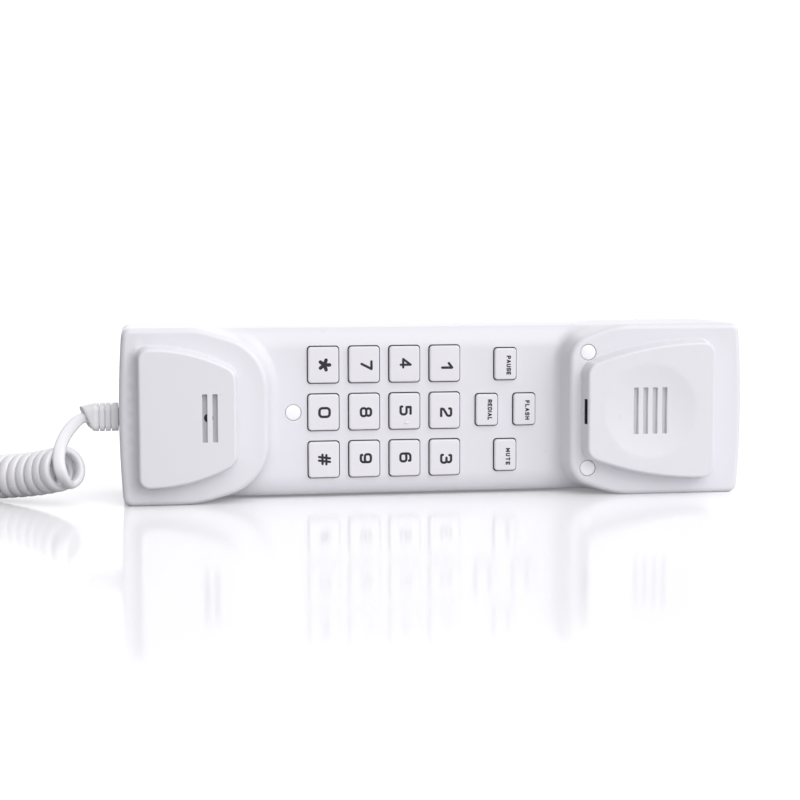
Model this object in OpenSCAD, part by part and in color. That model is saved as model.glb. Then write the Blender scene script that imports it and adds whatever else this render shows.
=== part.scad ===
/* Slimline corded telephone handset with the keypad inside it.
   It stands on its long side: X runs from the mouthpiece (-X) to the
   earpiece (+X), -Y is the face that is dialled and spoken into, +Z is up.
   The origin is the bottom centre of the handset's own bounding box. */

/* [Handset] */
// Length of the handset, end to end
body_l = 210; // [208:1:213]
// Width of the handset, which is its height as it stands on its side
body_w = 58; // [57.6:0.1:59]
// Depth of the handset from the pad faces to the back
body_d = 50; // [49:0.5:53]
// How far the pads stand out of the end platforms
pad_rise = 6; // [5.6:0.1:6.6]
// How far the keypad face lies behind the end platforms
keypad_drop = 9.5; // [9:0.1:10]
// Wall thickness of both shells
wall = 2.2; // [2:0.1:2.4]
// How much slimmer the grip is than the ends, on each side
waist = 0.7; // [0.4:0.1:1]
// Width of the rounding on the grip's front edges
grip_w = 7.6; // [7:0.1:8]
// Depth of that rounding
grip_r = 5.2; // [4.6:0.1:5.6]
// Rounding of the back shell's edges
back_r = 6; // [5:0.5:7]

/* [Keypad] */
// Width of a dial key, along the handset
key_w = 10.2; // [9.6:0.1:10.4]
// Height of a dial key, across the handset
key_h = 12; // [11.4:0.1:12.2]
// Width of a function key
fkey_w = 7.4; // [7:0.1:7.6]
// Height of a function key
fkey_h = 10.6; // [10:0.1:10.8]
// How far the keys stand out of the keypad face
key_proud = 1.3; // [1:0.1:1.5]
// Travel of a key
key_travel = 1.2; // [0.8:0.1:1.2]
// Gap all round a key in its window
key_gap = 0.3; // [0.25:0.05:0.4]
// Spacing of the dial keys along the handset
pitch_x = 13.7; // [13.5:0.1:13.8]
// Spacing of the dial keys across the handset
pitch_z = 15.9; // [15.6:0.1:16]

/* [Sound openings] */
// Width of a sound slot
slot_w = 1.6; // [1.2:0.1:1.8]
// Length of a sound slot
slot_l = 15.6; // [14:0.2:16.4]
// Spacing of the sound slots
slot_pitch = 3.3; // [3:0.1:3.5]
// Depth of the round dish in the ear pad
dish_d = 1.2; // [0.8:0.1:1.4]
// Radius of the dish's rim
dish_r = 15.8; // [15:0.1:16]

/* [Cord] */
// Outer radius of the curly part of the cord
coil_r = 7.4; // [7.1:0.1:7.5]
// Width of the flat cord
cord_w = 3.4; // [3:0.1:3.6]

/* [Hidden] */
$fn = 48;
e = 0.01;
zc = body_w/2;
hx = body_l/2;
y_pad = -body_d/2;
y_plat = y_pad + pad_rise;
y_face = y_plat + keypad_drop;
y_in = y_face + wall;
y_part = 5;
y_back = body_d/2;
key_top = y_face - key_proud;
flange_y = y_in + 0.2;
flange_t = 0.9;
dome_y = flange_y + flange_t + key_travel + 0.3;
mat_y = dome_y + 2;
board_y = mat_y + 1;
board_t = 1.6;
col_x = [for (i = [0:3]) -37.6 + i*pitch_x];
row_z = [zc + pitch_z, zc, zc - pitch_z];
fpos = [[24.4, zc + 15.5], [18, zc], [31, zc], [24.4, zc - 15.5]];
screw_a = [-47.7, zc];
screw_b = [51, zc + 19.6];
screw_c = [51, zc - 19.6];
post_at = [[-46.5, zc - 14], [-46.5, zc + 14], [38.5, zc - 14], [38.5, zc + 14]];
ear_x = 71.2;
mic_x = -76;
cap_x = 71.2;
relief_at = [-hx, -2, 28];

white = "#e6e7ec";
keyc = "#f1f0ee";
rubberc = "#e3e4e8";
greenc = "#2f6b3a";
blackc = "#222226";
steelc = "#b9bcc2";
goldc = "#d8b24a";

// Route of the straight lead from the strain relief down to the curls
tail_a = [[-116.8, -2.2, 28], [-118.6, -3.9, 27.2], [-121.4, -6.8, 25.2], [-124, -12, 21.8],
          [-124.6, -16, 19.2], [-124.1, -18.8, 17.3]];
// Middle line of the curly part
coil_route = [[-118.7, -19.8, 13.4], [-122.2, -15, 12.8], [-125.6, -11.2, 11.8], [-129.2, -8, 10.7],
              [-136, -3, 9.3], [-142, 1, 8.5], [-147, 4.7, 7.9], [-155, 9.6, 7.5],
              [-163, 14.5, 7.5], [-170, 18.8, 7.5], [-177, 23.1, 7.5], [-184, 27.3, 7.5],
              [-191.6, 29.7, 7.5], [-199.4, 28.1, 7.5], [-205.4, 22.7, 7.5], [-207.9, 15.1, 7.5],
              [-206.2, 7.2, 7.5], [-200.8, 1.2, 7.5], [-190.7, -5.3, 7.5], [-180.6, -11.8, 7.5],
              [-172.2, -17.2, 7.5]];
// Route of the straight lead from the curls to the plug
tail_b = [[-170.2, -14.6, 3.2], [-167.6, -10.6, 2], [-166, -7, 1.9], [-165.5, -3.8, 1.9],
          [-166.2, -0.8, 1.9], [-168.5, 1.8, 2.2], [-171.6, 3.8, 2.9], [-174.4, 5.6, 3.2]];
plug_at = [-174.4, 5.6, 3.2];
plug_turn = 147;
// Routes of the leads inside the case
lead_rx = [[34, 24, -0.3], [34.5, 24, 2], [38, 24.5, 4.5], [45, 26, 5.5], [54, 28, 4], [62, 29, -3], [66, 29, -9], [68, 29, -12.2]];
lead_tx = [[-42, 20, -0.3], [-42.5, 20, 2], [-46, 20.5, 4], [-53, 22, 4.5], [-62, 25, 2], [-70, 28, -5], [-75, 29, -10], [-76, 29, -13.4]];
lead_ln = [[-101.6, 28, -2], [-97, 27, 1], [-88, 22, 5], [-74, 15, 7], [-60, 12, 6.5], [-50, 12.5, 5.5], [-44, 13, 3.5], [-41.5, 13, -0.3]];

// ---------- plane outlines, in X and Z ----------
// Points on an arc
function arc(cx, cz, r, a0, a1, n) =
  [for (i = [0:n]) [cx + r*cos(a0 + (a1 - a0)*i/n), cz + r*sin(a0 + (a1 - a0)*i/n)]];
// The upper half of an outline, mirrored below the middle line as well
function both(up) = let(n = len(up))
  concat([for (p = up) [p[0], zc + p[1]]], [for (i = [n-1:-1:0]) [up[i][0], zc - up[i][1]]]);

// Plan of the whole handset, t mm inside its outline
// One end of the outline, slightly bulged, from the middle line to the corner
function end_up(t) = concat([[hx - t, 3], [hx - 0.25 - t, 14]], arc(hx - 4, zc - 3, 3 - t*0.9, 6, 90, 6));
function flipx(p) = [for (i = [len(p)-1:-1:0]) [-p[i][0], p[i][1]]];
function body_pts(t) = both(concat(end_up(t), flipx(end_up(t))));

// Mouthpiece platform: full width at the end, rounded towards the grip
function plat_l(t) = both(concat(
  [for (q = end_up(t)) [-q[0], q[1]]],
  arc(-86.84, -29.9, 58.9 - t, 90, 72, 6),
  arc(-74.2, 9, 18 - t, 72, 0, 12)));
// Earpiece platform
function plat_r(t) = both(concat(
  end_up(t),
  arc(71.2, -27.6, 56.6 - t, 90, 112, 6),
  arc(53.2, 17, 8.5 - t, 112, 180, 8)));
// Mouthpiece pad
function pad_l(t) = both(concat(
  arc(-95.3, 19.1, 3.5 - t*0.9, 180, 90, 6),
  arc(-95.3, -32.4, 55 - t, 90, 62.74, 10),
  arc(-72.4, 12.05, 5 - t, 62.74, 0, 6)));
// Earpiece pad
function pad_r(t) = both(concat(
  arc(89.6, 19, 4 - t*0.9, 0, 90, 6),
  arc(89.6, -85, 108 - t, 90, 110.18, 12),
  arc(53.9, 12.15, 4.5 - t, 110.18, 180, 6)));

// ---------- helpers ----------
// A plane outline in X and Z made solid from y0 to y1
module slab(y0, y1) { translate([0, y1, 0]) rotate([90, 0, 0]) linear_extrude(y1 - y0) children(); }
// A cylinder along Y from y0 to y1
module rod(p, r, y0, y1) { translate([p[0], y1, p[1]]) rotate([90, 0, 0]) cylinder(r = r, h = y1 - y0); }
// A box from y0 to y1, centred on p in X and Z
module block(p, w, h, y0, y1) { translate([p[0] - w/2, y0, p[1] - h/2]) cube([w, y1 - y0, h]); }
// A rectangle with round corners, centred on p in X and Z
module rrect(p, w, h, r) {
  translate([p[0] - w/2 + r, p[1] - h/2]) square([w - 2*r, h]);
  translate([p[0] - w/2, p[1] - h/2 + r]) square([w, h - 2*r]);
  for (sx = [-1, 1], sz = [-1, 1]) translate([p[0] + sx*(w/2 - r), p[1] + sz*(h/2 - r)]) circle(r);
}

// Frames carried along a route without twist, for a tube of n sides
function unit(v) = v/norm(v);
function tang(p, i) = unit(p[min(i + 1, len(p) - 1)] - p[max(i - 1, 0)]);
function carry(p, i, v) = i == len(p) ? [] :
  let(t = tang(p, i), w = unit(v - (v*t)*t)) concat([w], carry(p, i + 1, w));
module sweep(p, r, n, flat = 1) {
  m = len(p);
  nn = carry(p, 0, [0.1, 0.2, 1]);
  pts = [for (i = [0:m-1]) let(t = tang(p, i), u = nn[i], w = cross(t, u))
    for (k = [0:n-1]) p[i] + r*(cos(360*k/n)*u*flat + sin(360*k/n)*w)];
  polyhedron(points = pts, faces = concat(
    [[for (k = [0:n-1]) k]], [[for (k = [n-1:-1:0]) (m - 1)*n + k]],
    [for (i = [0:m-2], k = [0:n-1]) [i*n + k, (i + 1)*n + k, (i + 1)*n + (k + 1)%n]],
    [for (i = [0:m-2], k = [0:n-1]) [i*n + k, (i + 1)*n + (k + 1)%n, i*n + (k + 1)%n]]));
}

// ---------- shells ----------
// Section of the grip in Y and Z, t mm inside, front edges round
module grip_section(t, y1) {
  r = grip_r - t;
  w = grip_w - 1.45*t;
  translate([y_face + t + r, waist + t]) square([y1 - (y_face + t + r), body_w - 2*(waist + t)]);
  translate([y_face + t, waist + t + w]) square([y1 - (y_face + t), body_w - 2*(waist + t + w)]);
  for (z = [waist + t + w, body_w - waist - t - w]) translate([y_face + t + r, z])
    polygon([for (a = [0:7.5:352.5]) [r*cos(a), w*sin(a)]]);
}
module grip(t, y1) {
  translate([-90 + t, 0, 0]) rotate([90, 0, 90]) linear_extrude(170 - 2*t) grip_section(t, y1);
}
module front_solid(t, y1) {
  grip(t, y1);
  slab(y_plat + t, y1) polygon(plat_l(t));
  slab(y_plat + t, y1) polygon(plat_r(t));
  slab(y_pad + t, y_plat + t + 1) polygon(pad_l(t));
  slab(y_pad + t, y_plat + t + 1) polygon(pad_r(t));
}
module front_shell() {
  color(white) difference() {
    union() {
      difference() {
        front_solid(0, y_part);
        difference() { front_solid(wall, y_part + 1);
          // bosses for the case screws, left standing in the cavity
          rod(screw_a, 3.8, y_face, y_part + 2);
          rod(screw_b, 3.8, y_plat, y_part + 2);
          rod(screw_c, 3.8, y_plat, y_part + 2);
          // posts for the board
          for (p = post_at) rod(p, 2.5, y_face, board_y);
          // cup for the microphone and ring for the receiver
          difference() { rod([mic_x, zc], 8.4, y_pad, y_pad + wall + 7); rod([mic_x, zc], 6.35, y_pad - 1, y_pad + wall + 8); }
          difference() { rod([cap_x, zc], 17, y_pad, y_pad + wall + 9); rod([cap_x, zc], 15.4, y_pad - 1, y_pad + wall + 10); }
        }
      }
    }
    // case screw holes, with a seat for the head
    rod(screw_a, 2.65, y_face - 1, -3); rod(screw_a, 1.6, y_face - 1, y_part + 1);
    rod(screw_b, 2.65, y_plat - 1, -3); rod(screw_b, 1.6, y_plat - 1, y_part + 1);
    rod(screw_c, 2.65, y_plat - 1, -3); rod(screw_c, 1.6, y_plat - 1, y_part + 1);
    // pilot holes in the board posts
    for (p = post_at) rod(p, 0.9, board_y - 6, board_y + 1);
    // key windows
    for (x = col_x, z = row_z) slab(y_face - 1, y_in + 1) rrect([x, z], key_w + 2*key_gap, key_h + 2*key_gap, 1.2);
    for (p = fpos) slab(y_face - 1, y_in + 1) rrect(p, fkey_w + 2*key_gap, fkey_h + 2*key_gap, 1.2);
    // sound slots
    for (i = [-1.5:1:1.5]) block([ear_x + i*slot_pitch, zc], slot_w, slot_l, y_pad - 1, y_pad + wall + 1);
    for (i = [-0.5, 0.5]) block([mic_x + i*slot_pitch, zc], slot_w, slot_l, y_pad - 1, y_pad + wall + 1);
    // dish in the ear pad
    translate([ear_x, y_pad + dish_d - (dish_d*dish_d + dish_r*dish_r)/(2*dish_d), zc])
      sphere(r = (dish_d*dish_d + dish_r*dish_r)/(2*dish_d), $fn = 96);
    // catch slot for the hook of a wall cradle
    translate([48, y_plat - 5.1, zc - 4.2]) cube([5, 2.6, 8.4]);
    // hole for the strain relief
    translate([-hx - 1, relief_at[1], relief_at[2]]) rotate([0, 90, 0]) cylinder(r = 3.2, h = 5);
  }
}
// Outer form of the back shell, t mm inside
module back_section(t, z0) {
  r = back_r - t;
  y1 = y_back - t;
  translate([y_part - t, z0 + t]) square([y1 - r - y_part + t, body_w - 2*(z0 + t)]);
  translate([y_part - t, z0 + t + r]) square([y1 - y_part + t, body_w - 2*(z0 + t + r)]);
  for (z = [z0 + t + r, body_w - z0 - t - r]) translate([y1 - r, z]) circle(r);
}
module back_end(t) {
  r = back_r - t;
  // section along X, so that the ends are round too
  rotate([0, 0, 0]) linear_extrude(body_w) {
    translate([-hx + t, y_part - t]) square([body_l - 2*t, y_back - r - t - y_part + t]);
    translate([-hx + t + r, y_part - t]) square([body_l - 2*t - 2*r, y_back - y_part]);
    for (x = [-hx + t + r, hx - t - r]) translate([x, y_back - t - r]) circle(r);
  }
}
module back_solid(t) {
  intersection() {
    union() {
      translate([-hx - 1, 0, 0]) rotate([90, 0, 90]) linear_extrude(body_l + 2) back_section(t, waist);
      translate([-hx - 1, 0, 0]) rotate([90, 0, 90]) linear_extrude(33 - t) back_section(t, 0);
      translate([60 + t, 0, 0]) rotate([90, 0, 90]) linear_extrude(46 - t) back_section(t, 0);
    }
    slab(y_part - t - 1, y_back + 1) polygon(body_pts(t));
    back_end(t);
  }
}
module back_shell() {
  color(white) difference() {
    difference() {
      back_solid(0);
      difference() {
        back_solid(wall);
        for (p = [screw_a, screw_b, screw_c]) rod(p, 3.5, y_part, y_back);
        // stiffening ribs
        for (x = [-20, 16]) translate([x, y_back - 9, 0]) cube([1.2, 9, body_w]);
      }
    }
    for (p = [screw_a, screw_b, screw_c]) rod(p, 1.25, y_part - 1, y_part + 10);
  }
}

// ---------- keys ----------
module key(p, w, h) {
  color(keyc) {
    // cap with a bevelled rim
    slab(key_top + 0.4, flange_y + e) rrect(p, w, h, 1);
    slab(key_top, key_top + 0.4 + e) rrect(p, w - 0.6, h - 0.6, 0.8);
    // flange that keeps it behind the case
    slab(flange_y, flange_y + flange_t) rrect(p, w + 1.6, h + 1.6, 1.2);
  }
}
module dkey(c, r) { key([col_x[c], row_z[r]], key_w, key_h); }
module key_1() { color(keyc) dkey(3, 0); }
module key_2() { color(keyc) dkey(3, 1); }
module key_3() { color(keyc) dkey(3, 2); }
module key_4() { color(keyc) dkey(2, 0); }
module key_5() {
  color(keyc) {
    dkey(2, 1);
    // raised nib for the fingertip
    block([col_x[2] + 0.9, zc - 3.9], 0.7, 1.9, key_top - 0.35, key_top + 0.5);
  }
}
module key_6() { color(keyc) dkey(2, 2); }
module key_7() { color(keyc) dkey(1, 0); }
module key_8() { color(keyc) dkey(1, 1); }
module key_9() { color(keyc) dkey(1, 2); }
module key_star() { color(keyc) dkey(0, 0); }
module key_0() { color(keyc) dkey(0, 1); }
module key_hash() { color(keyc) dkey(0, 2); }
module key_pause() { color(keyc) key(fpos[0], fkey_w, fkey_h); }
module key_redial() { color(keyc) key(fpos[1], fkey_w, fkey_h); }
module key_flash() { color(keyc) key(fpos[2], fkey_w, fkey_h); }
module key_mute() { color(keyc) key(fpos[3], fkey_w, fkey_h); }

// ---------- inside ----------
module keypad_mat() {
  color("#c9ccd2") {
    difference() {
      block([-3.7, zc], 78.6, 46, mat_y, board_y);
      for (x = [-30.75, -3.35]) rod([x, zc + pitch_z/2], 0.8, mat_y - 1, board_y + 1);
    }
    for (x = col_x, z = row_z) rod([x, z], 4, dome_y, mat_y + e);
    for (p = fpos) rod(p, 3, dome_y, mat_y + e);
  }
}
module main_board() {
  color(greenc) difference() {
    block([-3.5, zc], 92, 46, board_y, board_y + board_t);
    rod(screw_a, 4.8, board_y - 1, board_y + board_t + 1);
    translate([-51, board_y - 1, zc - 4.8]) cube([3.3, board_t + 2, 9.6]);
    for (p = post_at) rod(p, 1.2, board_y - 1, board_y + board_t + 1);
  }
}
module dialer_chip() {
  color(blackc) {
    translate([-10, board_y + board_t, zc - 4]) cube([16, 2.6, 8]);
    for (i = [0:7], s = [-1, 1]) translate([-9.3 + 2*i, board_y + board_t, zc + s*4.9 - 0.9]) cube([0.6, 0.8, 1.8]);
  }
}
module capacitor(p, r, h) {
  color("#2b3a66") {
    rod(p, r, board_y + board_t, board_y + board_t + h);
    rod(p, r*0.8, board_y + board_t + h - e, board_y + board_t + h + 0.3);
  }
}
module capacitor_a() { color("#2b3a66") capacitor([20, zc + 8], 4, 10); }
module capacitor_b() { color("#2b3a66") capacitor([-26, zc - 9], 3.2, 8); }
module ringer_bridge() {
  color(blackc) difference() {
    translate([24, board_y + board_t, zc - 14]) cube([6.4, 3, 8]);
    translate([27.2, board_y + board_t + 2.6, zc - 6]) rotate([0, 0, 0]) cube([1.6, 1, 1.6], center = true);
  }
}
module board_screw(p) {
  color(steelc) difference() {
    union() {
      rod(p, 2, board_y + board_t, board_y + board_t + 1.4);
      rod(p, 1, board_y - 5, board_y + board_t + e);
    }
    block(p, 2.4, 0.5, board_y + board_t + 0.7, board_y + board_t + 2);
    block(p, 0.5, 2.4, board_y + board_t + 0.7, board_y + board_t + 2);
  }
}
module board_screw_a() { color(steelc) board_screw(post_at[0]); }
module board_screw_b() { color(steelc) board_screw(post_at[1]); }
module board_screw_c() { color(steelc) board_screw(post_at[2]); }
module board_screw_d() { color(steelc) board_screw(post_at[3]); }
module receiver_gasket() {
  color("#3a3a3e") difference() {
    rod([cap_x, zc], 15.2, y_pad + wall, y_pad + wall + 1);
    rod([cap_x, zc], 12, y_pad + wall - 1, y_pad + wall + 2);
  }
}
module receiver_capsule() {
  color(blackc) {
    rod([cap_x, zc], 15, y_pad + wall + 1, y_pad + wall + 7);
    rod([cap_x, zc], 11, y_pad + wall + 7 - e, y_pad + wall + 10);
    for (s = [-1, 1]) block([cap_x + s*4, zc], 3, 1.2, y_pad + wall + 10 - e, y_pad + wall + 12);
  }
}
module microphone_boot() {
  color("#2c2c30") difference() {
    rod([mic_x, zc], 6.3, y_pad + wall, y_pad + wall + 8);
    rod([mic_x, zc], 4.9, y_pad + wall + 1, y_pad + wall + 9);
    rod([mic_x, zc], 3.4, y_pad + wall - 1, y_pad + wall + 3);
  }
}
module microphone_capsule() {
  color(steelc) {
    rod([mic_x, zc], 4.85, y_pad + wall + 1, y_pad + wall + 7.5);
    rod([mic_x, zc], 1.5, y_pad + wall + 0.7, y_pad + wall + 1 + e);
    for (s = [-1, 1]) rod([mic_x + s*1.3, zc], 0.5, y_pad + wall + 7.5 - e, y_pad + wall + 9.5);
  }
}
// The leads run from the board's back face, as [x, z, y] points
function xyz(p) = [for (q = p) [q[0], q[2], q[1]]];
module receiver_lead() { color("#a33030") sweep(xyz(lead_rx), 0.8, 8); }
module microphone_lead() { color("#3a3a3e") sweep(xyz(lead_tx), 0.8, 8); }
module line_lead() { color("#d0d0d4") sweep(xyz(lead_ln), 1.1, 8); }

// ---------- screws and their plugs ----------
module case_screw(p) {
  color(steelc) difference() {
    union() {
      rod(p, 2.5, -5, -3);
      rod(p, 1.45, -3 - e, 13);
      translate([p[0], 15, p[1]]) rotate([90, 0, 0]) cylinder(r1 = 0.3, r2 = 1.25, h = 2 + e);
    }
    block(p, 3, 0.7, -6, -4);
    block(p, 0.7, 3, -6, -4);
  }
}
module case_screw_a() { color(steelc) case_screw(screw_a); }
module case_screw_b() { color(steelc) case_screw(screw_b); }
module case_screw_c() { color(steelc) case_screw(screw_c); }
module plug_cap(p, y) {
  color("#f6f6f8") {
    rod(p, 2.66, y + 0.1, y + 1.5);
    difference() { rod(p, 2.2, y + 1.5 - e, y + 4); rod(p, 1.5, y + 1.5, y + 5); }
  }
}
module screw_plug_a() { color("#f6f6f8") plug_cap(screw_a, y_face); }
module screw_plug_b() { color("#f6f6f8") plug_cap(screw_b, y_plat); }
module screw_plug_c() { color("#f6f6f8") plug_cap(screw_c, y_plat); }

// ---------- cord ----------
module strain_relief() {
  color(rubberc) translate([relief_at[0], relief_at[1], relief_at[2]]) rotate([0, -90, 0]) union() {
    // outer sleeve, with grooves that let it bend
    difference() {
      union() {
        translate([0, 0, 0.3]) linear_extrude(9.4) rrect([0, 0], 9.2, 9, 2);
        translate([0, 0, 9.6]) cylinder(r1 = 4.5, r2 = 3.3, h = 2.6);
      }
      for (z = [2.1, 4.2, 6.3]) difference() {
        translate([-6, -6, z]) cube([12, 12, 0.6]);
        cylinder(r = 3.6, h = 12);
      }
    }
    // neck through the case wall, and the flange inside it
    translate([0, 0, -2.6]) cylinder(r = 3.1, h = 3);
    translate([0, 0, -3.9]) cylinder(r = 4.2, h = 1.4);
  }
}
module cord_tail() { color(rubberc) sweep(tail_a, cord_w/2, 8); }
module cord_coil() { color(rubberc) sweep(coil_route, coil_r, 12); }
module cord_end() { color(rubberc) sweep(tail_b, cord_w/2, 8); }
// The plug's own X runs from the cord to its nose
module at_plug() { translate(plug_at) rotate([0, 0, plug_turn]) children(); }
module modular_plug() {
  color("#e9eef2") at_plug() {
    difference() {
      translate([-0.5, -3.85, -3.2]) cube([12.2, 7.7, 5.8]);
      for (i = [-1.5:1:1.5]) translate([6, i*1.27 - 0.25, -4]) cube([7, 0.5, 3]);
      translate([-1, -2.2, -1.4]) cube([3, 4.4, 2.8]);
    }
    // latch tongue on top, sloping back from the nose
    translate([11.7, 1.6, 2.5]) rotate([90, 0, 0]) linear_extrude(3.2)
      polygon([[0, -0.5], [0, 0.9], [-5.5, 2.6], [-11.4, 3.4], [-11.4, 2.5], [-5.5, 1.7], [-2, 0.5], [-2, -0.5]]);
  }
}
module plug_contact(i) {
  color(goldc) at_plug() translate([6.3, (i - 1.5)*1.27 - 0.2, -3.1]) cube([5.2, 0.4, 2.1]);
}
module plug_contact_a() { color(goldc) plug_contact(0); }
module plug_contact_b() { color(goldc) plug_contact(1); }
module plug_contact_c() { color(goldc) plug_contact(2); }
module plug_contact_d() { color(goldc) plug_contact(3); }

front_shell();
back_shell();
key_1();
key_2();
key_3();
key_4();
key_5();
key_6();
key_7();
key_8();
key_9();
key_star();
key_0();
key_hash();
key_pause();
key_redial();
key_flash();
key_mute();
keypad_mat();
main_board();
dialer_chip();
capacitor_a();
capacitor_b();
ringer_bridge();
board_screw_a();
board_screw_b();
board_screw_c();
board_screw_d();
receiver_gasket();
receiver_capsule();
microphone_boot();
microphone_capsule();
receiver_lead();
microphone_lead();
line_lead();
case_screw_a();
case_screw_b();
case_screw_c();
screw_plug_a();
screw_plug_b();
screw_plug_c();
strain_relief();
cord_tail();
cord_coil();
cord_end();
modular_plug();
plug_contact_a();
plug_contact_b();
plug_contact_c();
plug_contact_d();
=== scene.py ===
"""Slimline corded telephone handset: the looks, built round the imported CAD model.

Lengths in the shape functions are millimetres in the row's frame: X from the mouthpiece (-X) to the earpiece (+X),
-Y is the face, +Z up. A plan point is (x, w) with w = z - 29, because every outline is symmetric about the middle line,
and a height h is -y, so the pad faces are at h = 25 and the keypad face is at h = 9.5.
"""

import math
from collections import defaultdict

import bpy
import numpy as np
from mathutils import Matrix, Vector
from mathutils.geometry import delaunay_2d_cdt


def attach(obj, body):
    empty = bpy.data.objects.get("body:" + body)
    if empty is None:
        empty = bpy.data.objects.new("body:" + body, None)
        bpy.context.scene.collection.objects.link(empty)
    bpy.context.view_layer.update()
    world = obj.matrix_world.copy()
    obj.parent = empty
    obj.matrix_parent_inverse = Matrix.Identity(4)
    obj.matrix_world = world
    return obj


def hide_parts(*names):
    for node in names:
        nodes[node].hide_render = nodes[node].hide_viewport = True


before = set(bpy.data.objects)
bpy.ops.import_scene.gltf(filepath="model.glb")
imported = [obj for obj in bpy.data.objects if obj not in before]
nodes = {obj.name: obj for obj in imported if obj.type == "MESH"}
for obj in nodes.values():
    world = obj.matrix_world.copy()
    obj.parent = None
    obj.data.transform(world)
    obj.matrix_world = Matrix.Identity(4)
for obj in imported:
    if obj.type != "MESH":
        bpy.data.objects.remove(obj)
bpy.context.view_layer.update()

MM = 0.001
ZC = 29.0
HX = 105.0
Y_PART = 5.0
H_FACE, H_PLAT, H_PAD = 9.5, 19.0, 25.0
COLS = [-37.6 + 13.7 * i for i in range(4)]
ROWS = [15.9, 0.0, -15.9]
FKEYS = {"pause": (24.4, 15.5), "redial": (18.0, 0.0), "flash": (31.0, 0.0), "mute": (24.4, -15.5)}
SCREWS = {"a": (-47.7, 0.0), "b": (51.0, 19.6), "c": (51.0, -19.6)}
EAR_X, MIC_X = 71.2, -76.0
PI = math.pi


# =====================================================================================================================
# Camera: the photograph's view
# =====================================================================================================================
def make_camera():
    pitch, yaw, roll = (math.radians(a) for a in (5.011, 8.801, -0.137))
    fw = Vector((math.sin(yaw) * math.cos(pitch), math.cos(yaw) * math.cos(pitch), -math.sin(pitch)))
    rt = Vector((math.cos(yaw), -math.sin(yaw), 0.0))
    up = rt.cross(fw)
    r2 = rt * math.cos(roll) + up * math.sin(roll)
    u2 = up * math.cos(roll) - rt * math.sin(roll)
    data = bpy.data.cameras.new("camera")
    data.sensor_width = 36.0
    data.sensor_fit = "HORIZONTAL"
    data.lens = 76.5
    data.clip_start, data.clip_end = 0.01, 50.0
    cam = bpy.data.objects.new("camera", data)
    bpy.context.scene.collection.objects.link(cam)
    cam.matrix_world = Matrix(
        (
            (r2.x, u2.x, -fw.x, -98.89 * MM),
            (r2.y, u2.y, -fw.y, -572.99 * MM),
            (r2.z, u2.z, -fw.z, 82.68 * MM),
            (0, 0, 0, 1),
        )
    )
    bpy.context.scene.camera = cam


make_camera()


# =====================================================================================================================
# Materials
# =====================================================================================================================
def new_material(name):
    m = bpy.data.materials.new(name)
    m.use_nodes = True
    nt = m.node_tree
    bsdf = nt.nodes["Principled BSDF"]
    return m, nt, bsdf


def set_in(bsdf, **kw):
    for k, v in kw.items():
        bsdf.inputs[k.replace("_", " ")].default_value = v


def object_coords(nt, scale):
    tc = nt.nodes.new("ShaderNodeTexCoord")
    mp = nt.nodes.new("ShaderNodeMapping")
    mp.inputs["Scale"].default_value = (scale, scale, scale)
    nt.links.new(tc.outputs["Object"], mp.inputs["Vector"])
    return mp.outputs["Vector"]


def noise(nt, vec, scale, detail=3.0, rough=0.5):
    n = nt.nodes.new("ShaderNodeTexNoise")
    n.inputs["Scale"].default_value = scale
    n.inputs["Detail"].default_value = detail
    n.inputs["Roughness"].default_value = rough
    nt.links.new(vec, n.inputs["Vector"])
    return n.outputs["Fac"]


def ramp(nt, fac, stops):
    r = nt.nodes.new("ShaderNodeValToRGB")
    while len(r.color_ramp.elements) < len(stops):
        r.color_ramp.elements.new(0.5)
    for el, (pos, col) in zip(r.color_ramp.elements, stops):
        el.position = pos
        el.color = (*col, 1.0) if len(col) == 3 else col
    nt.links.new(fac, r.inputs["Fac"])
    return r.outputs["Color"]


def to_range(nt, fac, lo, hi, a=0.0, b=1.0):
    n = nt.nodes.new("ShaderNodeMapRange")
    n.inputs["From Min"].default_value = a
    n.inputs["From Max"].default_value = b
    n.inputs["To Min"].default_value = lo
    n.inputs["To Max"].default_value = hi
    nt.links.new(fac, n.inputs["Value"])
    return n.outputs["Result"]


def bump(nt, bsdf, height, strength, distance, normal=None):
    b = nt.nodes.new("ShaderNodeBump")
    b.inputs["Strength"].default_value = strength
    b.inputs["Distance"].default_value = distance
    nt.links.new(height, b.inputs["Height"])
    if normal is not None:
        nt.links.new(normal, b.inputs["Normal"])
    nt.links.new(b.outputs["Normal"], bsdf.inputs["Normal"])
    return b.outputs["Normal"]


def moulded(name, colour, spread=0.012, rough=(0.26, 0.34), grain=0.00002, grain_scale=1900.0, coat=0.0, spec=0.5, sss=0.0):
    """Moulded plastic: the colour drifts a little over centimetres, the gloss has fine flow mottling, and the surface a
    very fine texture."""
    m, nt, bsdf = new_material(name)
    vec = object_coords(nt, 1.0)
    drift = noise(nt, vec, 34.0, 2.0)
    lo = tuple(max(0.0, c * (1 - spread)) for c in colour)
    hi = tuple(min(1.0, c * (1 + spread)) for c in colour)
    col = ramp(nt, drift, [(0.0, lo), (1.0, hi)])
    nt.links.new(col, bsdf.inputs["Base Color"])
    mottle = noise(nt, vec, 90.0, 3.0, 0.55)
    nt.links.new(to_range(nt, mottle, rough[0], rough[1]), bsdf.inputs["Roughness"])
    fine = noise(nt, vec, grain_scale, 2.0, 0.5)
    bump(nt, bsdf, fine, 0.35, grain)
    set_in(bsdf, Specular_IOR_Level=spec)
    if coat:
        set_in(bsdf, Coat_Weight=coat, Coat_Roughness=0.12)
    if sss:
        set_in(bsdf, Subsurface_Weight=sss, Subsurface_Scale=0.0015)
        bsdf.inputs["Subsurface Radius"].default_value = (1.0, 0.95, 0.9)
    return m


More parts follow.
